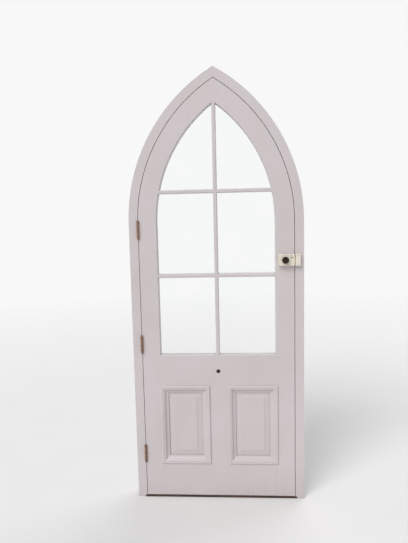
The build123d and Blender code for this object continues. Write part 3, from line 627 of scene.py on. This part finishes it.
HINGE_BRASS = AgedMetal()
DARK_BRONZE = AgedMetal(
    slot="dark_bronze", title="DarkBronze", bright=(0.060, 0.041, 0.036), tarnish=(0.024, 0.016, 0.015),
    cover=(0.36, 0.66), roughness=(0.28, 0.42),
)
CYLINDER_BRASS = AgedMetal(
    slot="polished_brass", title="CylinderBrass", bright=(0.78, 0.55, 0.22), tarnish=(0.44, 0.27, 0.10),
    cover=(0.50, 0.80), roughness=(0.20, 0.34),
)
KEEP_ENAMEL = CreamEnamel(title="KeepEnamel", cream=(0.79, 0.75, 0.68), yellowed=(0.71, 0.66, 0.56))
ZINC_STEEL = AgedMetal(
    slot="steel", title="ZincSteel", bright=(0.56, 0.56, 0.57), tarnish=(0.36, 0.36, 0.38),
    cover=(0.45, 0.75), clouds=160.0, roughness=(0.30, 0.45),
)
SLOT_SHADOW = AgedMetal(
    slot="hinge_brass", title="SlotShadow", bright=(0.05, 0.03, 0.02), tarnish=(0.02, 0.012, 0.01),
    roughness=(0.6, 0.8),
)


def bent(start: Point, end: Point, bow: float, steps: int = 8) -> list[Point]:
    """Points from one to the other along a parabola that bows to the left of the way, without the last.

    Args:
        start: First point.
        end: Last point, left out.
        bow: How far the middle stands off the straight line.
        steps: How many pieces.

    Returns:
        The points.
    """
    a, b = Vector(start), Vector(end)
    run = b - a
    left = Vector((-run.y, run.x)).normalized()
    made = []
    for i in range(steps):
        t = i / steps
        made.append(tuple(a + run * t + left * (4 * bow * t * (1 - t))))
    return made


class Bench:
    """Where meshes are made into pieces that ride on the frame's bodies."""

    @staticmethod
    def finish_mesh(name: str, mesh: Mesh, smooth_below: float = 35.0) -> bpy.types.Object:
        """A smooth-shaded object with sharp edges where faces meet steeply.

        Args:
            name: The object's name.
            mesh: Its mesh, which is freed.
            smooth_below: Edges with a smaller angle than this are smooth, in degrees.

        Returns:
            The object.
        """
        bmesh.ops.remove_doubles(mesh, verts=mesh.verts, dist=SAME_POINT)
        bmesh.ops.recalc_face_normals(mesh, faces=mesh.faces)
        data = bpy.data.meshes.new(name)
        mesh.to_mesh(data)
        mesh.free()
        data.shade_smooth()
        data.set_sharp_from_angle(angle=math.radians(smooth_below))
        made = bpy.data.objects.new(name, data)
        bpy.context.scene.collection.objects.link(made)
        return made

    @staticmethod
    def fit(
        piece: bpy.types.Object, body: str, finishes: Sequence[Finish], replaces: Iterable[str] = ()
    ) -> None:
        """Gives a piece its body, finishes and the nodes that it stands for.

        Args:
            piece: The piece.
            body: The body it rides on.
            finishes: One for each material index of its mesh.
            replaces: CAD nodes that it hides.
        """
        for finish in finishes:
            piece.data.materials.append(finish.material())
        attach(piece, body)
        if replaces:
            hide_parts(*replaces)
        LOG.info("piece %s on %s, %d faces", piece.name, body, len(piece.data.polygons))

    @staticmethod
    def turn(
        mesh: Mesh,
        outline: Sequence[Point],
        origin: Vector,
        facing: Facing,
        segments: int = 72,
        ripple: Callable[[float, float], float] | None = None,
    ) -> None:
        """Turns an outline about an axis.

        Args:
            mesh: What it is added to.
            outline: Radius and distance along the axis, from one end to the other.
            origin: Where the axis starts.
            facing: Where it points.
            segments: How many faces round.
            ripple: Gives the radius from the angle and the plain radius.
        """
        axis = Vector(facing.value)
        side = axis.orthogonal().normalized()
        other = axis.cross(side)
        rings = []
        for radius, along in outline:
            if radius < SAME_POINT:
                rings.append([mesh.verts.new(origin + axis * along)] * segments)
                continue
            ring = []
            for i in range(segments):
                angle = math.tau * i / segments
                r = ripple(angle, radius) if ripple else radius
                spoke = side * math.cos(angle) + other * math.sin(angle)
                ring.append(mesh.verts.new(origin + axis * along + spoke * r))
            rings.append(ring)
        for below, above in zip(rings, rings[1:]):
            for i in range(segments):
                j = (i + 1) % segments
                corners = list(dict.fromkeys((below[i], below[j], above[j], above[i])))
                if len(corners) > 2:
                    mesh.faces.new(corners)

    @staticmethod
    def prism(
        mesh: Mesh, outline: Sequence[Point], place: Callable[[float, float, float], Vector],
        low: float, high: float, material: int = 0,
    ) -> None:
        """A closed prism over an outline.

        Args:
            mesh: What it is added to.
            outline: Corners in the plane.
            place: Turns two plane coordinates and a height into a point.
            low: Height of the foot.
            high: Height of the top.
            material: Material index of its faces.
        """
        foot = [mesh.verts.new(place(u, v, low)) for u, v in outline]
        top = [mesh.verts.new(place(u, v, high)) for u, v in outline]
        faces = [mesh.faces.new(foot), mesh.faces.new(top)]
        for i in range(len(outline)):
            j = (i + 1) % len(outline)
            faces.append(mesh.faces.new((foot[i], foot[j], top[j], top[i])))
        for face in faces:
            face.material_index = material

    @staticmethod
    def band(line: Sequence[Point], thickness: float) -> list[Point]:
        """Outline of a strip of even thickness that is bent along a line.

        Args:
            line: The strip's middle.
            thickness: Its thickness.

        Returns:
            One side from start to end, then the other side back.
        """
        points = [Vector(p) for p in line]
        ways = [(b - a).normalized() for a, b in zip(points, points[1:])]
        sides = ([], [])
        for i, point in enumerate(points):
            before, after = ways[max(i - 1, 0)], ways[min(i, len(ways) - 1)]
            square = Vector((-before.y - after.y, before.x + after.x))
            square *= thickness / square.length_squared
            sides[0].append(tuple(point + square))
            sides[1].append(tuple(point - square))
        return sides[0] + sides[1][::-1]


@dataclass
class Joinery:
    """The timber of frame and leaf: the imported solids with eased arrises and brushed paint."""

    arris: float = 0.0009
    joint_arris: float = 0.0004
    threshold_arris: float = 0.0015
    grains: dict[str, Grain] = field(default_factory=lambda: {
        "jamb_left": Grain.UPRIGHT,
        "jamb_right": Grain.UPRIGHT,
        "head_left": Grain.LEFT_ARC,
        "head_right": Grain.RIGHT_ARC,
        "stile_left": Grain.UPRIGHT,
        "stile_right": Grain.UPRIGHT,
        "head_rail_left": Grain.LEFT_ARC,
        "head_rail_right": Grain.RIGHT_ARC,
        "lock_rail": Grain.LEVEL,
        "bottom_rail": Grain.LEVEL,
        "muntin": Grain.UPRIGHT,
        "panel_left": Grain.UPRIGHT,
        "panel_right": Grain.UPRIGHT,
        "glazing_bar_upright": Grain.UPRIGHT,
        "glazing_bar_low": Grain.LEVEL,
        "glazing_bar_high": Grain.LEVEL,
        "glazing_beads_low": Grain.UPRIGHT,
        "glazing_beads_middle": Grain.UPRIGHT,
        "glazing_beads_top": Grain.UPRIGHT,
    })

    @staticmethod
    def coat(node: str, finish: Finish) -> bpy.types.Object:
        """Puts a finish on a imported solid.

        Args:
            node: The node's name.
            finish: Its finish.

        Returns:
            The node's object.
        """
        solid = frame["nodes"][node]
        solid.data.materials.clear()
        solid.data.materials.append(finish.material())
        return solid

    @staticmethod
    def ease(solid: bpy.types.Object, width: float, steps: int = 2) -> None:
        """Joins a solid's faces, flattens their triangles and rounds the arrises.

        Args:
            solid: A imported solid.
            width: Width of the rounding.
            steps: Faces in the rounding.
        """
        weld = solid.modifiers.new("join_faces", "WELD")
        weld.merge_threshold = SEAM_WIDTH
        flat = solid.modifiers.new("flatten", "DECIMATE")
        flat.decimate_type = "DISSOLVE"
        flat.angle_limit = math.radians(FLAT_BELOW)
        bevel = solid.modifiers.new("arris", "BEVEL")
        bevel.width = width
        bevel.segments = steps
        bevel.limit_method = "ANGLE"
        bevel.angle_limit = math.radians(EASED_ABOVE)
        bevel.harden_normals = False
        even = solid.modifiers.new("even_light", "WEIGHTED_NORMAL")
        even.keep_sharp = True

    def build(self) -> None:
        """Dresses every timber."""
        for node, grain in self.grains.items():
            # Panels take the paint with painted shade in its corners.
            solid = self.coat(node, SatinPaint(grain=grain, moulded=node.startswith("panel")))
            small = node.startswith("glazing")
            self.ease(solid, self.joint_arris if small else self.arris)
            LOG.info("timber %s, grain %s", node, grain.value)
        self.ease(self.coat("threshold", OiledHardwood()), self.threshold_arris)
        for node in ("frame_tenons", "leaf_tenons"):
            self.ease(self.coat(node, PlanedTimber()), self.joint_arris)
        LOG.info("threshold and tenons")


@dataclass
class Glazing:
    """The six panes."""

    rows: tuple[str, ...] = ("low", "middle", "top")
    seam: float = 0.0003

    def build(self) -> None:
        """Gives each pane its glass and seams its cut edges."""
        for row in self.rows:
            for side in ("left", "right"):
                Joinery.ease(Joinery.coat(f"pane_{row}_{side}", FloatGlass()), self.seam)
        LOG.info("panes, %d rows", len(self.rows))


@dataclass
class BolectionMoulding:
    """Mitred strips round a panel, lapping onto the framing and running down to the panel."""

    node: str
    outside: bool = False
    lap: float = 0.010
    width: float = 0.046
    proud: float = 0.008
    mitre_gap: float = 0.00012
    smooth_below: float = 28.0
    # Both finishes carry painted shade in the moulding's corners.
    upright: Finish = SatinPaint(moulded=True)
    level: Finish = SatinPaint(grain=Grain.LEVEL, moulded=True)

    def outline(self, drop: float) -> list[Point]:
        """Section from the outer foot to the inner one: distance inward, height above the framing's face.

        Args:
            drop: How far the panel lies behind the framing's face.

        Returns:
            The points, closed through the back.
        """
        p = self.proud
        crown, quirk, toe = (0.0052, p), (0.0275, -0.0016), (0.0434, 0.0058 - drop)
        made = [(0.0, 0.0), (0.0, p * 0.22)]
        made += bent((0.0004, p * 0.30), crown, 0.0014, 7)
        made += bent(crown, (0.0118, p * 0.93), 0.0003, 4)
        made += [(0.0136, p * 0.90), (0.0140, p * 0.70)]
        made += bent((0.0148, p * 0.68), quirk, 0.0023, 12)
        made += [quirk, (0.0276, -0.0031)]
        made += bent((0.0279, -0.0033), toe, -0.0015, 10)
        made += [toe, (0.0437, 0.0061 - drop)]
        made += bent((0.0440, 0.0061 - drop), (self.width, 0.0048 - drop), 0.0005, 5)
        made += [(self.width, 0.0045 - drop), (self.width, -drop), (self.lap, -drop), (self.lap, 0.0)]
        return made

    def build(self) -> None:
        """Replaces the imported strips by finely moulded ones."""
        low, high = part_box(self.node)
        toward = 1.0 if self.outside else -1.0
        crest = high.y if self.outside else low.y
        foot = low.y if self.outside else high.y
        face = crest - toward * self.proud
        section = self.outline(abs(face - foot))
        corners = [
            (low.x, low.z, 1, 1), (high.x, low.z, -1, 1), (high.x, high.z, -1, -1), (low.x, high.z, 1, -1),
        ]
        mesh = bmesh.new()
        for i in range(len(corners)):
            ends = []
            level = i % 2 == 0
            for x, z, dx, dz in (corners[i], corners[(i + 1) % len(corners)]):
                slip_x, slip_z = (dx * self.mitre_gap, 0.0) if level else (0.0, dz * self.mitre_gap)
                ends.append([
                    mesh.verts.new((x + dx * d + slip_x, face + toward * h, z + dz * d + slip_z))
                    for d, h in section
                ])
            for j in range(len(section)):
                k = (j + 1) % len(section)
                mesh.faces.new((ends[0][j], ends[1][j], ends[1][k], ends[0][k])).material_index = int(level)
            for end in ends:
                mesh.faces.new(end).material_index = int(level)
        piece = Bench.finish_mesh(self.node + "_run", mesh, self.smooth_below)
        Bench.fit(piece, "leaf", (self.upright, self.level), (self.node,))


@dataclass
class Screws:
    """A set of slotted screw heads in one piece."""

    name: str
    body: str
    facing: Facing
    places: list[Vector]
    radius: float
    proud: float
    finish: Finish
    slot_width: float = 0.0011
    slot_angle: float = 0.5
    turn_step: float = 1.1
    crown_share: float = 0.93
    waist_share: float = 0.55
    groove_reach: float = 0.99
    groove_floor: float = 0.2
    arc_steps: int = 14

    def build(self) -> None:
        """Two half-moons each side of a dark slot."""
        axis = Vector(self.facing.value)
        side = axis.orthogonal().normalized()
        other = axis.cross(side)
        mesh = bmesh.new()
        for count, centre in enumerate(self.places):
            turn = self.slot_angle + self.turn_step * count
            u = side * math.cos(turn) + other * math.sin(turn)
            v = axis.cross(u)

            def place(a: float, b: float, height: float) -> Vector:
                """A point of this head."""
                return centre + u * a + v * b + axis * height

            half = self.slot_width / 2
            edge = math.asin(half / self.radius)
            for sign in (1, -1):
                rim, crown = [], []
                for i in range(self.arc_steps + 1):
                    angle = edge + (math.pi - 2 * edge) * i / self.arc_steps
                    a, b = self.radius * math.cos(angle), sign * self.radius * math.sin(angle)
                    rim.append((a, b))
                    crown.append((a * self.crown_share, sign * half + (b - sign * half) * self.crown_share))
                foot = [mesh.verts.new(place(*p, -self.proud)) for p in rim]
                waist = [mesh.verts.new(place(*p, self.proud * self.waist_share)) for p in rim]
                top = [mesh.verts.new(place(*p, self.proud)) for p in crown]
                mesh.faces.new(top)
                mesh.faces.new(foot)
                for below, above in ((foot, waist), (waist, top)):
                    for i in range(len(rim)):
                        j = (i + 1) % len(rim)
                        mesh.faces.new((below[i], below[j], above[j], above[i]))
            reach = self.radius * self.groove_reach
            groove = [(reach * c, half * s) for c, s in ((-1, -1), (1, -1), (1, 1), (-1, 1))]
            # Painted shadow: a near-black block fills the slot's floor, standing in for the shade inside it.
            Bench.prism(mesh, groove, place, -self.proud, self.proud * self.groove_floor, 1)
        piece = Bench.finish_mesh(self.name, mesh)
        Bench.fit(piece, self.body, (self.finish, SLOT_SHADOW))


@dataclass
class Hinges:
    """Brass butt hinges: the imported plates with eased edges, their screws and the tips of their pins."""

    names: tuple[str, ...] = ("low", "middle", "high")
    plate_gap: float = 0.0005
    screws_each: int = 4
    screw_radius: float = 0.0042
    screw_stagger: float = 0.008
    screw_proud: float = 0.00018
    plate_edge: float = 0.0005
    tip_radius: float = 0.0052
    tip_height: float = 0.0028
    tip_edge: float = 0.0004
    tip_sink: float = 0.0006
    knuckle_reach: float = 0.007

    def axis(self) -> Vector:
        """A point of the swing's axis."""
        joint = next(j for j in frame["joints"] if j["name"] == "door_swing")
        return Vector(joint["pos_m"])

    def screw_places(self, node: str, x: float) -> list[Vector]:
        """Four staggered places on one plate.

        Args:
            node: The plate.
            x: Where its face is.

        Returns:
            Centres of the heads.
        """
        low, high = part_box(node)
        plate_start = self.axis().y + self.knuckle_reach
        middle = (plate_start + high.y) / 2
        places = []
        for i in range(self.screws_each):
            z = low.z + (high.z - low.z) * (i + 0.5) / self.screws_each
            y = middle + self.screw_stagger * (i % 2 - 0.5)
            places.append(Vector((x, y, z)))
        return places

    def tips(self) -> None:
        """The domed ends of the three pins."""
        mesh = bmesh.new()
        axis = self.axis()
        brim = (self.tip_radius, self.tip_edge)
        outline = bent((0.0, self.tip_height), brim, 0.0011, 9)
        outline += [brim, (self.tip_radius, -self.tip_sink), (0.0, -self.tip_sink)]
        for name in self.names:
            low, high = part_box("hinge_plate_jamb_" + name)
            for z, facing in ((low.z, Facing.DOWN), (high.z, Facing.UP)):
                Bench.turn(mesh, outline, Vector((axis.x, axis.y, z)), facing, 32)
        Bench.fit(Bench.finish_mesh("hinge_pin_tips", mesh), "frame", (HINGE_BRASS,))

    def build(self) -> None:
        """Dresses the plates and adds screws and tips."""
        x = self.axis().x
        for side, body, across, facing in (
            ("jamb", "frame", -1, Facing.RIGHT),
            ("stile", "leaf", 1, Facing.LEFT),
        ):
            places = []
            for name in self.names:
                node = f"hinge_plate_{side}_{name}"
                Joinery.ease(Joinery.coat(node, HINGE_BRASS), self.plate_edge)
                places += self.screw_places(node, x + across * self.plate_gap / 2)
            Screws(
                f"hinge_screws_{side}", body, facing, places, self.screw_radius, self.screw_proud, HINGE_BRASS
            ).build()
        self.tips()


@dataclass
class RimLatch:
    """Cream rim night latch with its turned knob, keep, screws and the cylinder outside."""

    case_edge: float = 0.0012
    knob_flutes: int = 40
    flute_depth: float = 0.00035
    keep_screw_spread: float = 0.048
    keep_screw_radius: float = 0.004
    keep_screw_proud: float = 0.0007
    case_screw_radius: float = 0.003
    case_screw_proud: float = 0.0010
    case_screw_inset: float = 0.0128
    case_screw_depth: float = 0.0065
    spring_strip: float = 0.0008
    spring_pad: float = 0.0030
    spring_bend: float = 0.0020
    spring_gap: float = 0.00003
    bend_steps: int = 8
    ring_clearance: float = 0.0003
    rib_step: float = 0.0024
    rib_margin: float = 0.0014

    def spring_line(self, half: float, height: float) -> list[Point]:
        """Middle of the spring's strip, from one end to the other, seen from the room.

        Args:
            half: Half the spring's width.
            height: Its height.

        Returns:
            Distance from its middle and height above its foot.
        """
        side = half - self.spring_gap - self.spring_strip / 2
        start = Vector((-side, height - self.spring_pad))
        centre = Vector((0.0, self.spring_strip / 2 + self.spring_bend))
        way = centre - start
        lean = math.atan2(way.y, way.x) - math.asin(self.spring_bend / way.length)
        first, last = lean - math.pi / 2, -math.pi / 2
        left = [(-side, height), tuple(start)]
        for i in range(self.bend_steps + 1):
            angle = first + (last - first) * i / self.bend_steps
            across, up = self.spring_bend * math.cos(angle), self.spring_bend * math.sin(angle)
            left.append((centre.x + across, centre.y + up))
        return left + [(-x, z) for x, z in reversed(left[:-1])]

    def spring(self) -> None:
        """The flat hairpin spring that the bolt's tail bears on, in its rest shape."""
        low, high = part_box("latch_spring")
        width = high.x - low.x
        outline = Bench.band(self.spring_line(width / 2, high.z - low.z), self.spring_strip)

        def place(u: float, v: float, depth: float) -> Vector:
            """A point of the spring."""
            return Vector(((low.x + high.x) / 2 + u, depth, low.z + v))

        mesh = bmesh.new()
        Bench.prism(mesh, outline, place, low.y, high.y)
        piece = Bench.finish_mesh("spring_hairpin", mesh)
        Bench.fit(piece, "leaf", (ZINC_STEEL,), ("latch_spring",))
        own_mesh(piece)

    def knob(self) -> None:
        """The knob: a flared neck, a fluted rim and a softly domed crown."""
        low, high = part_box("latch_knob")
        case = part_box("latch_case")[0].y
        height, r = case - low.y, (high.x - low.x) / 2
        deep = case - high.y
        spindle, neck, flare, brim = 0.006, (0.0074, 0.0052), (r - 0.0016, 0.0112), (r, 0.0132)
        shoulder = (r - 0.0044, height - 0.0008)
        outline = [(0.0, deep), (spindle, deep), (spindle, 0.0003), (0.0095, 0.0003), (0.0100, 0.0012)]
        outline += bent((0.0098, 0.0020), neck, -0.0005, 5)
        outline += bent(neck, flare, -0.0026, 9)
        outline += bent(flare, brim, 0.0004, 4)
        outline += [brim, (r, height - 0.0052)]
        outline += bent((r, height - 0.0050), shoulder, 0.0011, 7)
        outline += bent(shoulder, (0.0, height), 0.0002, 5)
        outline.append((0.0, height))
        rim = r - 0.0003

        def fluted(angle: float, radius: float) -> float:
            """Shallow flutes round the rim alone.

            Args:
                angle: Round the axis.
                radius: The plain radius.

            Returns:
                The fluted radius.
            """
            if radius < rim:
                return radius
            return radius - self.flute_depth * (0.5 - 0.5 * math.cos(self.knob_flutes * angle))

        mesh = bmesh.new()
        centre = Vector(((low.x + high.x) / 2, case, (low.z + high.z) / 2))
        Bench.turn(mesh, outline, centre, Facing.ROOM, self.knob_flutes * 6, fluted)
        Bench.fit(Bench.finish_mesh("knob_turned", mesh), "latch_knob", (DARK_BRONZE,), ("latch_knob",))

    def keyed_cylinder(self) -> None:
        """The rounded ring outside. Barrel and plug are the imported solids."""
        low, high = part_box("cylinder_ring")
        r, thick = (high.x - low.x) / 2, high.y - low.y
        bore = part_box("cylinder_barrel")
        inner = (bore[1].x - bore[0].x) / 2 + self.ring_clearance
        crest = (inner + 0.0022, thick)
        outline = [(inner, 0.0), (r, 0.0)]
        outline += bent((r, 0.0006), crest, 0.0009, 10)
        outline += [crest, (inner + 0.0006, thick), (inner, thick - 0.0005), (inner, 0.0)]
        mesh = bmesh.new()
        centre = Vector(((low.x + high.x) / 2, low.y, (low.z + high.z) / 2))
        Bench.turn(mesh, outline, centre, Facing.OUTSIDE, 96)
        Bench.fit(Bench.finish_mesh("ring_turned", mesh), "leaf", (CYLINDER_BRASS,), ("cylinder_ring",))

    def grip(self) -> None:
        """Three fine ribs across the snib's button."""
        low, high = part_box("latch_snib")
        mesh = bmesh.new()
        middle = (low.z + high.z) / 2
        half = (high.x - low.x) / 2 - self.rib_margin
        x = (low.x + high.x) / 2
        section = [(-0.0007, 0.0001), (0.0007, 0.0001), (0.0003, -0.0006), (-0.0003, -0.0006)]
        for i in (-1, 0, 1):

            def place(u: float, v: float, along: float, z: float = middle + i * self.rib_step) -> Vector:
                """A point of this rib."""
                return Vector((x + along, low.y + v, z + u))

            Bench.prism(mesh, section, place, -half, half)
        Bench.fit(Bench.finish_mesh("snib_ribs", mesh), "snib", (CreamEnamel(),))

    def screws(self) -> None:
        """Two screws in the keep's face, and one through each level side of the case."""
        low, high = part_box("keep")
        x, z = (low.x + high.x) / 2, (low.z + high.z) / 2
        spread = self.keep_screw_spread / 2
        places = [Vector((x, low.y, z + sign * spread)) for sign in (-1, 1)]
        Screws(
            "keep_screws", "frame", Facing.ROOM, places,
            self.keep_screw_radius, self.keep_screw_proud, KEEP_ENAMEL,
        ).build()
        low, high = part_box("latch_case")
        for name, z, facing in (("under", low.z, Facing.DOWN), ("over", high.z, Facing.UP)):
            place = Vector((low.x + self.case_screw_inset, high.y - self.case_screw_depth, z))
            Screws(
                "latch_screw_" + name, "leaf", facing, [place],
                self.case_screw_radius, self.case_screw_proud, ZINC_STEEL,
            ).build()

    def build(self) -> None:
        """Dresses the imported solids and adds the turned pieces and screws."""
        for node, finish, edge in (
            ("latch_case", CreamEnamel(), self.case_edge),
            ("keep", KEEP_ENAMEL, self.case_edge),
            ("latch_backplate", ZINC_STEEL, 0.0003),
            ("latch_bolt", CYLINDER_BRASS, 0.0005),
            ("latch_cam", ZINC_STEEL, 0.0003),
            ("latch_snib", CreamEnamel(), 0.0004),
            ("cylinder_barrel", CYLINDER_BRASS, 0.0004),
            ("cylinder_plug", CYLINDER_BRASS, 0.0002),
        ):
            Joinery.ease(Joinery.coat(node, finish), edge)
            LOG.info("latch part %s", node)
        self.knob()
        self.keyed_cylinder()
        self.grip()
        self.spring()
        self.screws()


@dataclass
class PullKnob:
    """Turned centre knob outside with its rose, and the small dark nut on the room side."""

    bore: float = 0.0051
    stud: float = 0.005
    hole_clearance: float = 0.0002
    segments: int = 96
    nut_segments: int = 64

    def knob(self) -> None:
        """A flattened ball on a waisted neck, with a turned step in its face."""
        low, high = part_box("pull_knob")
        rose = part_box("pull_rose")[1].y
        r, height = (high.x - low.x) / 2, high.y - rose
        centre = Vector((0.0, rose, (low.z + high.z) / 2))
        deep = low.y - rose
        waist, throat, belly = (0.0100, 0.0060), (0.0112, 0.0130), (r, height * 0.62)
        step, dish = (0.0185, height - 0.0018), (0.0170, height - 0.0020)
        outline = [(0.0, deep), (self.stud, deep), (self.stud, 0.0), (0.0158, 0.0)]
        outline += bent((0.0158, 0.0008), waist, -0.0016, 7)
        outline += bent(waist, throat, -0.0004, 5)
        outline += bent(throat, belly, 0.0062, 14)
        outline += bent(belly, step, 0.0046, 12)
        outline += [step, (0.0178, height - 0.0024), dish]
        outline += bent(dish, (0.0, height), 0.0012, 8)
        outline.append((0.0, height))
        mesh = bmesh.new()
        Bench.turn(mesh, outline, centre, Facing.OUTSIDE, self.segments)
        Bench.fit(Bench.finish_mesh("pull_turned", mesh), "leaf", (DARK_BRONZE,), ("pull_knob",))

    def rose(self) -> None:
        """A rose with a rounded bead at its edge."""
        low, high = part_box("pull_rose")
        r, thick = (high.x - low.x) / 2, high.y - low.y
        crest = (0.0175, thick)
        outline = [(self.bore, 0.0), (r, 0.0)]
        outline += bent((r, 0.0004), (r - 0.0042, 0.0032), 0.0012, 8)
        outline += [(r - 0.0046, 0.0028)]
        outline += bent((r - 0.0050, 0.0028), crest, 0.0005, 8)
        outline += [crest, (self.bore, thick), (self.bore, 0.0)]
        mesh = bmesh.new()
        centre = Vector((0.0, low.y, (low.z + high.z) / 2))
        Bench.turn(mesh, outline, centre, Facing.OUTSIDE, self.segments)
        Bench.fit(Bench.finish_mesh("rose_turned", mesh), "leaf", (DARK_BRONZE,), ("pull_rose",))

    def nut(self) -> None:
        """A low dome nut with a blind hole for the knob's stud."""
        low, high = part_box("pull_nut")
        r, height = (high.x - low.x) / 2, high.y - low.y
        hole = high.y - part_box("pull_knob")[0].y + self.hole_clearance
        outline = [(0.0, hole), (self.bore, hole), (self.bore, 0.0)]
        outline += [(r - 0.0003, 0.0), (r, 0.0004), (r, 0.0012)]
        outline += bent((r, 0.0014), (r - 0.0028, 0.0030), 0.0004, 5)
        outline += bent((r - 0.0030, 0.0031), (0.0, height), 0.0009, 9)
        outline.append((0.0, height))
        mesh = bmesh.new()
        centre = Vector((0.0, high.y, (low.z + high.z) / 2))
        Bench.turn(mesh, outline, centre, Facing.ROOM, self.nut_segments)
        Bench.fit(Bench.finish_mesh("nut_domed", mesh), "leaf", (DARK_BRONZE,), ("pull_nut",))

    def build(self) -> None:
        """Makes the three turned pieces."""
        self.knob()
        self.rose()
        self.nut()


@dataclass
class FrameFixings:
    """Heads of the screws that hold the jambs, inside their holes in the rebate."""

    depth: float = 0.022
    heights: tuple[float, ...] = (0.3, 1.3)
    radius: float = 0.0038
    recess: float = 0.0016
    proud: float = 0.0008
    leaf_gap: float = 0.003

    def build(self) -> None:
        """One piece for each jamb."""
        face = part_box("stile_left")[0].y
        clear = -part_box("stile_left")[0].x + self.leaf_gap
        for side, across, facing in (("left", -1, Facing.RIGHT), ("right", 1, Facing.LEFT)):
            x = across * (clear + self.recess)
            places = [Vector((x, face + self.depth, z)) for z in self.heights]
            Screws(
                "fixing_heads_" + side, "frame", facing, places, self.radius, self.proud, ZINC_STEEL
            ).build()


@dataclass
class Studio:
    """Plain pale floor and backdrop, soft lamps and the photograph's viewpoint."""

    eye: tuple[float, float, float] = (0.1209, -2.9148, 1.6661)
    right: tuple[float, float, float] = (0.9977, 0.0636, -0.0225)
    up: tuple[float, float, float] = (0.0151, 0.1147, 0.9933)
    focal_pixels: float = 517.1
    picture_height: int = 543
    sensor: float = 36.0
    floor_reach: float = 20.0
    sky_colour: tuple[float, float, float, float] = (0.96, 0.97, 1.0, 1.0)
    sky_strength: float = 0.45
    suns: tuple[tuple[str, Sequence[float], float, float], ...] = (
        ("room_side", (-0.50, -0.80, 0.85), 34.0, 1.9),
        ("outside", (0.45, 0.80, 0.75), 60.0, 1.0),
    )

    def floor(self) -> None:
        """A wide floor under the threshold."""
        mesh = bmesh.new()
        bmesh.ops.create_grid(mesh, x_segments=4, y_segments=4, size=self.floor_reach)
        ground = Bench.finish_mesh("studio_floor", mesh)
        ground.data.materials.append(StudioFloor().material())

    def sky(self) -> None:
        """White to the eye, to glass and to metal, and a soft even light to everything else."""
        world = bpy.data.worlds.new("studio")
        bpy.context.scene.world = world
        world.use_nodes = True
        tree = world.node_tree
        tree.nodes.clear()
        output = tree.nodes.new("ShaderNodeOutputWorld")
        blend = tree.nodes.new("ShaderNodeMixShader")
        rays = tree.nodes.new("ShaderNodeLightPath")
        lamp = tree.nodes.new("ShaderNodeBackground")
        lamp.inputs[0].default_value = self.sky_colour
        lamp.inputs[1].default_value = self.sky_strength
        seen = tree.nodes.new("ShaderNodeBackground")
        seen.inputs[0].default_value = BACKDROP_WHITE
        first = tree.nodes.new("ShaderNodeMath")
        second = tree.nodes.new("ShaderNodeMath")
        first.operation = second.operation = "MAXIMUM"
        for start, end in (
            (rays.outputs["Is Camera Ray"], first.inputs[0]),
            (rays.outputs["Is Glossy Ray"], first.inputs[1]),
            (first.outputs[0], second.inputs[0]),
            (rays.outputs["Is Transmission Ray"], second.inputs[1]),
            (second.outputs[0], blend.inputs[0]),
            (lamp.outputs[0], blend.inputs[1]),
            (seen.outputs[0], blend.inputs[2]),
            (blend.outputs[0], output.inputs[0]),
        ):
            tree.links.new(start, end)

    def sun(self, name: str, toward: Sequence[float], spread: float, strength: float) -> None:
        """A very wide soft lamp, as even far out as near the door.

        Args:
            name: Its name.
            toward: Direction from the door to it.
            spread: How wide it is, in degrees.
            strength: In watts a square metre.
        """
        data = bpy.data.lights.new(name, "SUN")
        data.angle = math.radians(spread)
        data.energy = strength
        made = bpy.data.objects.new(name, data)
        bpy.context.scene.collection.objects.link(made)
        made.rotation_euler = (-Vector(toward)).to_track_quat("-Z", "Y").to_euler()

    def camera(self) -> None:
        """The camera at the photograph's viewpoint."""
        data = bpy.data.cameras.new("viewpoint")
        data.sensor_width = self.sensor
        data.lens = self.focal_pixels / self.picture_height * self.sensor
        made = bpy.data.objects.new("viewpoint", data)
        bpy.context.scene.collection.objects.link(made)
        right = Vector(self.right).normalized()
        back = right.cross(Vector(self.up)).normalized()
        up = back.cross(right)
        turn = Matrix((right, up, back)).transposed().to_4x4()
        made.matrix_world = Matrix.Translation(self.eye) @ turn
        bpy.context.scene.camera = made

    def build(self) -> None:
        """Sets floor, world, lamps, camera and view."""
        self.floor()
        self.sky()
        for sun in self.suns:
            self.sun(*sun)
        self.camera()
        bpy.context.scene.view_settings.view_transform = "Standard"
        LOG.info("studio and camera")


def main() -> None:
    """Builds the door piece by piece."""
    logging.basicConfig(level=logging.INFO, format="%(message)s")
    Joinery().build()
    Glazing().build()
    for side in ("left", "right"):
        BolectionMoulding(f"moulding_{side}_inside").build()
        BolectionMoulding(f"moulding_{side}_outside", outside=True).build()
    Hinges().build()
    RimLatch().build()
    PullKnob().build()
    FrameFixings().build()
    Studio().build()


if __name__ == "__main__":
    main()
